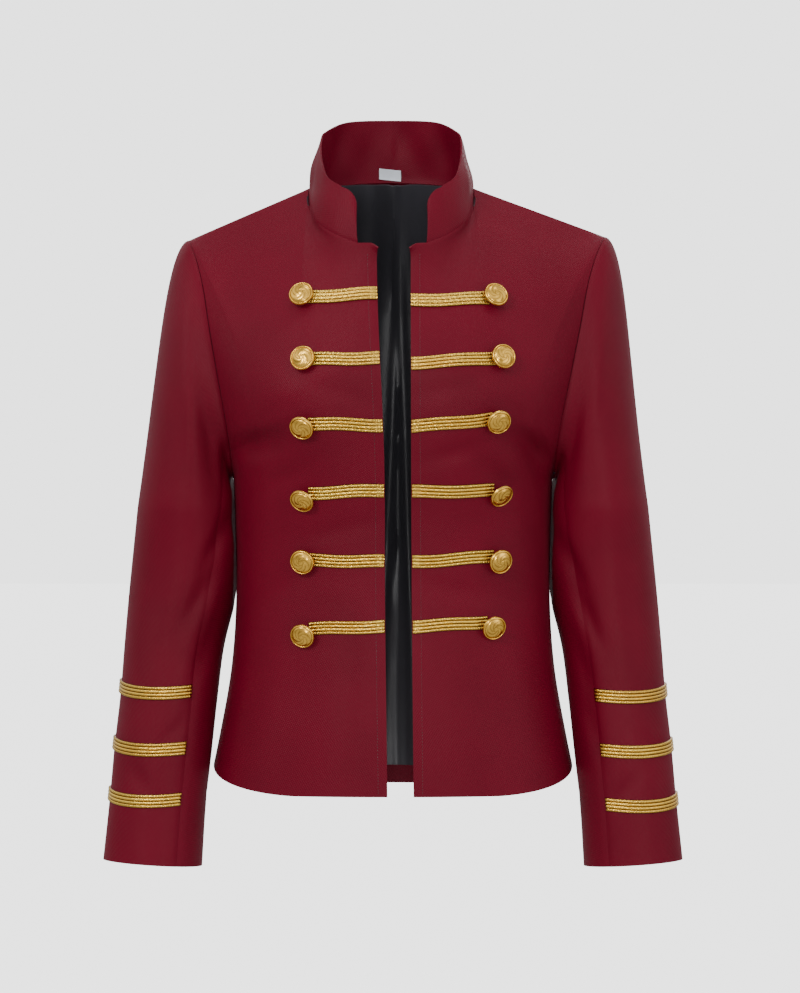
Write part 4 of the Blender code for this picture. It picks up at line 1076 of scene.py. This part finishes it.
def collar_grid():
    """The collar's outside: rows from its seam up, columns from its right end round the back to its left end."""
    halves = []
    for side in SIDES:
        t = (len(NECKLINE) - 1) * np.linspace(0, 1, 2 * COLLAR_STEPS + 1) ** 1.25
        foot, height, lean = neckline(side, t)
        walk = walked(foot)
        height = height - COLLAR_CORNER * (1 - np.sqrt(1 - np.clip(1 - walk / COLLAR_CORNER, 0, 1) ** 2))
        along = np.gradient(foot, t, axis=0)
        inward = np.stack((-along[:, 1], along[:, 0], 0 * t), axis=-1)
        inward /= np.linalg.norm(inward, axis=1)[:, None]
        end_lean = COLLAR_END_LEAN * np.clip(1 - walk / COLLAR_END_REACH, 0, 1)
        top = foot + inward * lean[:, None] + np.stack((end_lean, 0 * t, height), axis=-1)
        bottom = foot - (0, 0, 0.0010) + inward * 0.0004
        rise = np.linspace(0, 1, COLLAR_ROWS + 1)[:, None, None]
        half = bottom + (top - bottom) * rise - inward * rise * (1 - rise) * COLLAR_BOW
        up = rise[..., 0]
        slanted = np.sin(88 * walk + 3.6 * up + side.sign) + 0.6 * np.sin(151 * walk - 2.2 * up)
        wave = COLLAR_WAVE * slanted * np.sin(np.pi * up) * np.clip(walk / COLLAR_WAVE_FROM, 0, 1) ** 2
        half = half + inward * wave[..., None]
        half[..., 0] *= side.sign
        halves.append(half)
    return np.concatenate((halves[0], halves[1][:, -2::-1]), axis=1)


class JACKET_OT_collar(bpy.types.Operator):
    """Makes the stand collar and the blank label inside it."""

    bl_idname = "jacket.collar"
    bl_label = "Collar and Label"

    def execute(self, context):
        points = collar_grid()
        panel("collar_cloth", "collar", points, out_of_cloth(points, upright()), ("bottom",))
        tree = surface_of("collar_cloth")
        rows = []
        for rise in np.linspace(0, 1, LABEL_ROWS):
            row = []
            for x in LABEL_X + LABEL_WIDTH * np.linspace(-0.5, 0.5, LABEL_COLUMNS):
                z = NECKLINE[-1].z + LABEL_RISE + LABEL_HEIGHT * rise + LABEL_TILT * (LABEL_X - x)
                spot, normal = laid(tree, Vector((x, 0, z)), FROM_FRONT)
                lift = LABEL_LIFT + LABEL_CURL * rise**2 + LABEL_RIPPLE * math.sin(300 * x)
                row.append(spot + normal * lift)
            rows.append(row)
        points = np.array(rows)
        mesh = wall_mesh("label_cloth", points - (0, LABEL_THICK, 0), points, (label_material(),))
        label = add("label_cloth", mesh, ("label",), "white_label")
        declare(label, points)
        return {"FINISHED"}


class JACKET_OT_lining(bpy.types.Operator):
    """Makes the satin lining of the back, with its hanging folds."""

    bl_idname = "jacket.lining"
    bl_label = "Lining"

    def execute(self, context):
        points, ways = whole_back()
        cut = int(LINING_SIDE * points.shape[1] / 2)
        points, ways = points[:, cut:-cut], ways[:, cut:-cut]
        steps = surface_map(points)[..., 1]
        x, z = points[..., 0], points[..., 2]
        low = np.clip((z.max(axis=0) - z) / (z.max(axis=0) - z.min(axis=0)), 0, 1)
        depth = 0 * x
        for middle, lean, width, fold in LINING_FOLDS:
            beside = (x - middle - lean * (z + 0.3)) / width
            depth += fold * np.exp(-(beside**2)) * (LINING_TOP_SHARE + (1 - LINING_TOP_SHARE) * low)
        depth -= LINING_SEAM_RIDGE * np.exp(-(((x - LINING_SEAM_X) / LINING_SEAM_HALF) ** 2))
        depth -= LINING_LINE_RIDGE * np.exp(-(((z - LINING_LINE_Z) / LINING_LINE_HALF) ** 2))
        columns = np.arange(points.shape[1])
        edge = np.clip(np.minimum(columns, columns[::-1]) / LINING_EDGE_COLUMNS, 0, 1)
        depth = np.clip(depth, -LINING_OUT_MOST, None) * edge
        points = points - ways * (LINING_IN + depth)[..., None]
        keep = steps.mean(axis=1) > LINING_ABOVE_HEM
        points, ways = points[keep], ways[keep]
        lining = panel("lining_back_cloth", "lining_back", points, ways, (), slot="black_lining")
        declare(lining, points)
        return {"FINISHED"}


class JACKET_OT_stitches(bpy.types.Operator):
    """Makes the stitching along both front edges."""

    bl_idname = "jacket.stitches"
    bl_label = "Edge Stitching"

    def execute(self, context):
        cloth = context.scene.jacket_cloth
        for side in SIDES:
            tree = surface_of(f"front_{side.name}_cloth")
            path = []
            for z in np.arange(HEM_Z + STITCH_ABOVE_HEM, NOTCH_Z - STITCH_BELOW_NOTCH, STITCH_PATH_STEP):
                start = Vector((side.sign * (edge_x(side, z) + cloth.stitch_in), -1, z))
                spot, normal = laid(tree, start, FROM_FRONT)
                path.append(spot + normal * STITCH_LIFT)
            sizes = cloth.stitch_spacing, STITCH_LENGTH, STITCH_RADIUS
            stitched(f"edge_stitches_{side.name}", path, *sizes, thread_material(), "red_cloth")
        return {"FINISHED"}


def braid_height(trim, along, length, across, banded):
    """The height of the braid over its base: ribs, twisted edges and the sewn band at its end."""
    v = across * trim.ribs
    round_rib = np.sqrt(np.clip(1 - (2 * (v - np.floor(np.minimum(v, trim.ribs - 1e-6))) - 1) ** 2, 0, 1))
    rib = trim.rib * (RIB_FOOT + (1 - RIB_FOOT) * round_rib)
    outer = np.maximum(np.abs(2 * across - 1) - 1 + 2 / trim.ribs, 0) > 0.02
    untwisted = 0.5 - 0.5 * np.sin(2 * np.pi * (along / TWIST_LENGTH + 0.35 * v))
    rib = rib * (1 - np.where(outer, TWIST_OUTER, TWIST_INNER) * untwisted)
    if banded:
        band = np.clip((BAND_LENGTH - along) / 0.0008, 0, 1) * np.clip(along / 0.0006, 0, 1)
        cross = 0.5 + 0.5 * np.cos(2 * np.pi * along / (BAND_LENGTH / BAND_CROSSINGS))
        knots = 0.5 + 0.5 * np.cos(2 * np.pi * across * trim.ribs)
        rib = rib * (1 - 0.45 * band) + band * BAND_KNOT * (0.35 + 0.65 * cross * (0.5 + 0.5 * knots))
    end = np.clip((length - along) / 0.0010, 0, 1)
    edges = np.clip(np.minimum(across, 1 - across) * 2 * BRAID_ACROSS / 2.4, 0, 1)
    return rib * (0.4 + 0.6 * end) * (0.35 + 0.65 * edges)


def lay_braid(node_name, lines, banded):
    """A braid on the lines of spots and ways out that run along it, side by side; it replaces its node."""
    trim = bpy.context.scene.jacket_trim
    base = np.array([[spot for spot, _ in line] for line in lines])
    normals = smoothed(np.array([[normal for _, normal in line] for line in lines]))
    along = walked(base[len(base) // 2])
    across = np.linspace(0, 1, len(base))[:, None]
    height = braid_height(trim, along[None, :], along[-1], across, banded)
    outer = base + normals * (BRAID_BASE + height)[..., None]
    mesh = wall_mesh(f"{node_name}_woven", outer, base + normals * BRAID_FOOT, (braid_material(),))
    # How deep in the hollows between the ribs each point lies, where the material paints shade; the underside counts
    # as fully in them.
    hollow = np.clip(1.15 - height / trim.rib * 1.25, 0, 1)
    mark_hollow(mesh, np.concatenate((hollow.ravel(), np.ones(hollow.size))))
    return add(f"{node_name}_woven", mesh, (node_name,), "gold_braid")


def mark_hollow(mesh, marks):
    """Tells a trim material how deep in a hollow each point is, from 0 to 1, for the shade that it paints there."""
    mesh.attributes.new("hollow", "FLOAT", "POINT").data.foreach_set("value", marks)


def smoothed(normals):
    """Ways out that turn slowly, so that a strip laid along them doesn't step from face to face."""
    for _ in range(BRAID_SMOOTHING):
        wide = np.pad(normals, ((1, 1), (1, 1), (0, 0)), mode="edge")
        normals = (wide[:-2, 1:-1] + wide[2:, 1:-1] + wide[1:-1, :-2] + wide[1:-1, 2:] + 2 * normals) / 6
    return normals / np.linalg.norm(normals, axis=2)[..., None]


def chest_lines(tree, side, number, row, ups):
    """The lines of a chest row's braid, each a step up from its middle, from the front edge to the button."""
    end = row.button_x - BRAID_UNDER_BUTTON
    length = end - edge_x(side, row.braid_edge_z) - BRAID_END_IN
    share = np.linspace(0, 1, int(length / BRAID_STEP) + 1)
    wave = BRAID_WAVE * np.sin(np.pi * share * 2 + number * 1.7 + side.sign)
    zs = row.braid_edge_z + (row.braid_button_z - row.braid_edge_z) * share**1.3 + wave
    for up in ups:
        begin = edge_x(side, zs[0] + up) + BRAID_END_IN
        xs = begin + (end - begin) * share
        yield [laid(tree, Vector((side.sign * x, -1, z + up)), FROM_FRONT) for x, z in zip(xs, zs)]


def cuff_lines(tree, side, height, ups):
    """The lines of a cuff braid, each a step up from its middle, round the upper part of the sleeve."""
    first, last = BACK_SEAM[-1] - 2 * np.pi + CUFF_BRAID_IN, FRONT_SEAM[-1] - CUFF_BRAID_IN
    for up in ups:
        line = []
        for angle in np.linspace(first, last, CUFF_BRAID_STEPS):
            dip = CUFF_BRAID_DIP * math.sin(max(angle, 0) / FRONT_SEAM[-1] * math.pi)
            z = height + up - dip + CUFF_BRAID_TILT * math.cos(angle)
            spot = sleeve_ring(z, np.array([angle]))[0] * (side.sign, 1, 1)
            middle = sleeve_ring(z, np.array([0.0, np.pi])).mean(axis=0) * (side.sign, 1, 1)
            way = Vector((middle - spot) * (1, 1, 0)).normalized()
            line.append(laid(tree, Vector((spot[0], spot[1], z)) - way * RAY_FROM_OUTSIDE, way))
        yield line


class JACKET_OT_braids(bpy.types.Operator):
    """Makes the gold braid on the chest and the cuffs, sewn on the cloth."""

    bl_idname = "jacket.braids"
    bl_label = "Braid"

    def execute(self, context):
        ups = context.scene.jacket_trim.braid_width * np.linspace(-0.5, 0.5, BRAID_ACROSS + 1)
        for side in SIDES:
            tree = surface_of(f"front_{side.name}_cloth")
            for number, row in enumerate(CHEST_ROWS[side.name], 1):
                lines = list(chest_lines(tree, side, number, row, ups))
                lay_braid(f"braid_{side.name[0]}{number}", lines, banded=True)
            tree = surface_of(f"sleeve_upper_{side.name}_cloth")
            for number, height in enumerate(CUFF_BRAIDS[side.name], 1):
                lines = list(cuff_lines(tree, side, height, ups))
                lay_braid(f"cuff_braid_{side.name[0]}{number}", lines, banded=False)
        return {"FINISHED"}


def bump(at, middle, half, power=2):
    """A smooth bump, 1 at its middle; a higher power makes it flatter there."""
    return np.exp(-(((at - middle) / half) ** power))


def circle(radius, angle, z):
    """Points round a circle, at one height or each at its own."""
    return np.stack((radius * np.cos(angle), radius * np.sin(angle), z + 0 * angle), axis=-1).tolist()


def button_mesh(trim):
    """A domed button: a smooth rim, a groove and a whorl of leaves round a boss, on its shank."""
    share = np.r_[np.linspace(0, 0.9, 34)[1:], np.linspace(0.9, 1, 12)[1:]]
    angle = 2 * np.pi * np.arange(BUTTON_TURNS) / BUTTON_TURNS
    p, a = np.meshgrid(share, angle, indexing="ij")
    whorl = np.cos(LEAVES * a + LEAF_SWIRL * p)
    field = bump(p, LEAF_AT, LEAF_HALF, 6)
    moat = bump(p, MOAT_AT, MOAT_HALF)
    relief = field * (0.5 + 0.5 * whorl) + 0.8 * bump(p, 0, BOSS_RADIUS, 4)
    height = trim.button_dome * (1 - 0.78 * p**2.6) + trim.relief * relief
    height = height + RIM_HEIGHT * bump(p, RIM_AT, RIM_HALF, 4) - MOAT_DEPTH * moat
    past = np.clip((p - RIM_ROUND_FROM) / 0.036, 0, 1)
    height = height * np.sqrt(1 - past**2)
    # How deep each point lies in the ornament's grooves, its moat and the ring round its boss, where the material
    # paints shade.
    hollow = 0.75 * field * bump(whorl, 0, 0.42) + 0.85 * moat + 0.6 * bump(p, BOSS_MOAT_AT, 0.03)
    points = [(0, 0, trim.button_dome + trim.relief * 1.1)]
    for radius, heights in zip(share, height):
        points += circle(trim.button_radius * radius, angle, heights)
    marks = [0.0, *np.clip(hollow, 0, 1).ravel().tolist()]
    for radius, z in (
        (BUTTON_FOOT * trim.button_radius, 0.0),
        (SHANK_RADIUS, 0.0),
        (SHANK_RADIUS, SHANK_SHORT - BUTTON_HEIGHT),
    ):
        points += circle(radius, angle, z)
        # The underside and the shank, a little in painted shade.
        marks += [0.3] * BUTTON_TURNS
    here = np.arange(BUTTON_TURNS)
    after = np.roll(here, -1)
    faces = [(0, 1 + j, 1 + k) for j, k in zip(here.tolist(), after.tolist())]
    count = len(share) + 3
    for low in range(1, 1 + (count - 1) * BUTTON_TURNS, BUTTON_TURNS):
        high = low + BUTTON_TURNS
        faces += np.stack((low + here, high + here, high + after, low + after), axis=-1).tolist()
    faces.append((1 + (count - 1) * BUTTON_TURNS + here).tolist())
    return points, faces, marks


class JACKET_OT_buttons(bpy.types.Operator):
    """Makes the twelve domed buttons, each on its shank, hanging a little as sewn buttons do."""

    bl_idname = "jacket.buttons"
    bl_label = "Buttons"

    def execute(self, context):
        trim = context.scene.jacket_trim
        points, faces, marks = button_mesh(trim)
        for side in SIDES:
            tree = surface_of(f"front_{side.name}_cloth")
            for number, row in enumerate(CHEST_ROWS[side.name], 1):
                node_name = f"button_{side.name[0]}{number}"
                spot, normal = laid(tree, Vector((side.sign * row.button_x, -1, row.button_z)), FROM_FRONT)
                turn = normal.to_track_quat("Z", "Y").to_matrix().to_4x4()
                tilt = Matrix.Rotation(math.radians(row.tilt), 4, "X")
                lean = tilt @ Matrix.Rotation(math.radians(row.turn), 4, "Y")
                spin = Matrix.Rotation(0.5 * number, 4, "Z")
                place = Matrix.Translation(spot + normal * BUTTON_HEIGHT) @ lean @ turn @ spin
                mesh = bpy.data.meshes.new(f"{node_name}_gilt")
                mesh.from_pydata([tuple(place @ Vector(point)) for point in points], [], faces)
                mark_hollow(mesh, marks)
                mesh.materials.append(button_material())
                mesh.shade_smooth()
                mesh.set_sharp_from_angle(angle=math.radians(60))
                outward(mesh, spot + normal * BUTTON_HEIGHT / 2)
                add(f"{node_name}_gilt", mesh, (node_name,), "gold_button")
        return {"FINISHED"}


def outward(mesh, inside):
    """Turns a closed mesh the right way out."""
    volume = 0.0
    for polygon in mesh.polygons:
        volume += (polygon.center - inside).dot(polygon.normal) * polygon.area
    if volume < 0:
        mesh.flip_normals()


class JACKET_OT_declare(bpy.types.Operator):
    bl_idname = "jacket.declare"
    bl_label = "Declare Cloth"

    def execute(self, context):
        objects = bpy.data.objects
        for side in SIDES:
            front = f"front_{side.name}_cloth"
            declare(objects[front], outer_grid(front))
            for name in ("upper", "under"):
                piece = f"sleeve_{name}_{side.name}_cloth"
                declare(objects[piece], outer_grid(piece))
        declare(objects["back_cloth"], outer_grid("back_cloth"))
        declare(objects["collar_cloth"], outer_grid("collar_cloth"))
        return {"FINISHED"}


GRID_COLUMNS = {
    "front_right_cloth": 16 * FINE + 1,
    "front_left_cloth": 16 * FINE + 1,
    "back_cloth": 28 * FINE + 1,
    "collar_cloth": 4 * COLLAR_STEPS + 1,
}


def outer_grid(name):
    """The outer layer of a piece's points, as the grid that it was made from."""
    mesh = bpy.data.objects[name].data
    points = np.zeros(len(mesh.vertices) * 3)
    mesh.vertices.foreach_get("co", points)
    columns = GRID_COLUMNS.get(name) or (UPPER_STEPS if "upper" in name else UNDER_STEPS) + 1
    return points[: len(points) // 2].reshape(-1, columns, 3)


def make_floor(stage):
    """A pale floor that glows only towards the camera."""
    corners = [(FLOOR_HALF * x, FLOOR_HALF * y, stage.floor_z) for x, y in ((-1, -1), (1, -1), (1, 1), (-1, 1))]
    mesh = bpy.data.meshes.new("floor")
    mesh.from_pydata(corners, [], [(0, 1, 2, 3)])
    pale, tree, shader = new_shader("pale floor")
    place = node(tree, "ShaderNodeTexCoord").outputs["Object"]
    noise = node(tree, "ShaderNodeTexNoise", Vector=place, Scale=3.0, Detail=2.0).outputs[0]
    colour = mixed(tree, noise, (0.44, 0.44, 0.44), (0.46, 0.46, 0.46))
    fill(tree, shader, Base_Color=colour, Roughness=0.9, Specular_IOR_Level=0.1)
    seen = node(tree, "ShaderNodeLightPath").outputs["Is Camera Ray"]
    glow = math_of(tree, "MULTIPLY", seen, stage.pale * FLOOR_GLOW)
    fill(tree, shader, Emission_Color=(1.0, 1.0, 1.0, 1), Emission_Strength=glow)
    mesh.materials.append(pale)
    linked("floor", mesh)


def make_surround(stage):
    """A surround that lights from above and is evenly pale towards the camera."""
    world = bpy.context.scene.world or bpy.data.worlds.new("surround")
    bpy.context.scene.world = world
    world.use_nodes = True
    tree = world.node_tree
    way = node(tree, "ShaderNodeTexCoord").outputs["Generated"]
    up = node(tree, "ShaderNodeSeparateXYZ", Vector=way).outputs[2]
    height = node(tree, "ShaderNodeMapRange", i0=up, i1=-1.0, i2=1.0).outputs[0]
    ramp = node(tree, "ShaderNodeValToRGB", i0=height)
    stops = ramp.color_ramp.elements
    for stop, bright in zip(stops, (SKY_LOWEST, SKY_HIGHEST)):
        stop.color = (bright, bright, bright, 1)
    for at, bright in SKY_STOPS:
        stops.new(at).color = (bright, bright, bright, 1)
    soft = math_of(tree, "MULTIPLY", ramp.outputs[0], stage.surround)
    seen = node(tree, "ShaderNodeLightPath").outputs["Is Camera Ray"]
    strength = node(tree, "ShaderNodeMix", data_type="FLOAT", i0=seen, i2=soft, i3=stage.pale).outputs[0]
    fill(tree, tree.nodes["Background"], Color=(1.0, 1.0, 1.0, 1), Strength=strength)


class JACKET_OT_stage(bpy.types.Operator):
    """Makes the pale floor, the soft light and the camera."""

    bl_idname = "jacket.stage"
    bl_label = "Stage"

    def execute(self, context):
        stage = context.scene.jacket_stage
        make_floor(stage)
        make_surround(stage)
        for name, at, size, power in LAMPS:
            lamp = bpy.data.lights.new(name, "AREA")
            lamp.size, lamp.energy = size, power * stage.light
            placed = linked(name, lamp)
            placed.location = at
            placed.rotation_euler = (Vector(LAMPS_AIM) - Vector(at)).to_track_quat("-Z", "Y").to_euler()
        camera = bpy.data.cameras.new("camera")
        camera.sensor_fit, camera.sensor_width, camera.lens = "HORIZONTAL", 36.0, CAMERA_LENS
        camera.clip_end = 200.0
        placed = linked("camera", camera)
        placed.location = CAMERA_AT
        placed.rotation_euler = (math.pi / 2, 0, 0)
        context.scene.camera = placed
        return {"FINISHED"}


class JACKET_PT_parts(bpy.types.Panel):
    """The jacket's pieces and settings."""

    bl_idname = "JACKET_PT_parts"
    bl_label = "Jacket"
    bl_space_type = "VIEW_3D"
    bl_region_type = "UI"
    bl_category = "Jacket"

    def draw(self, context):
        for operator in OPERATORS:
            self.layout.operator(operator.bl_idname)
        for settings in (context.scene.jacket_cloth, context.scene.jacket_trim, context.scene.jacket_stage):
            box = self.layout.box()
            for name in type(settings).__annotations__:
                box.prop(settings, name)


OPERATORS = (
    JACKET_OT_body,
    JACKET_OT_sleeves,
    JACKET_OT_collar,
    JACKET_OT_lining,
    JACKET_OT_stitches,
    JACKET_OT_braids,
    JACKET_OT_buttons,
    JACKET_OT_declare,
    JACKET_OT_stage,
)
CLASSES = (ClothSettings, TrimSettings, StageSettings, *OPERATORS, JACKET_PT_parts)


def register():
    """Registers the add-on."""
    for each in CLASSES:
        bpy.utils.register_class(each)
    bpy.types.Scene.jacket_cloth = PointerProperty(type=ClothSettings)
    bpy.types.Scene.jacket_trim = PointerProperty(type=TrimSettings)
    bpy.types.Scene.jacket_stage = PointerProperty(type=StageSettings)


def unregister():
    """Takes the add-on out again."""
    del bpy.types.Scene.jacket_cloth, bpy.types.Scene.jacket_trim, bpy.types.Scene.jacket_stage
    for each in reversed(CLASSES):
        bpy.utils.unregister_class(each)


def main():
    """Makes the whole jacket and its stage, one group of pieces after another."""
    register()
    for operator in OPERATORS:
        group, name = operator.bl_idname.split(".")
        getattr(getattr(bpy.ops, group), name)()


if __name__ == "__main__":
    main()
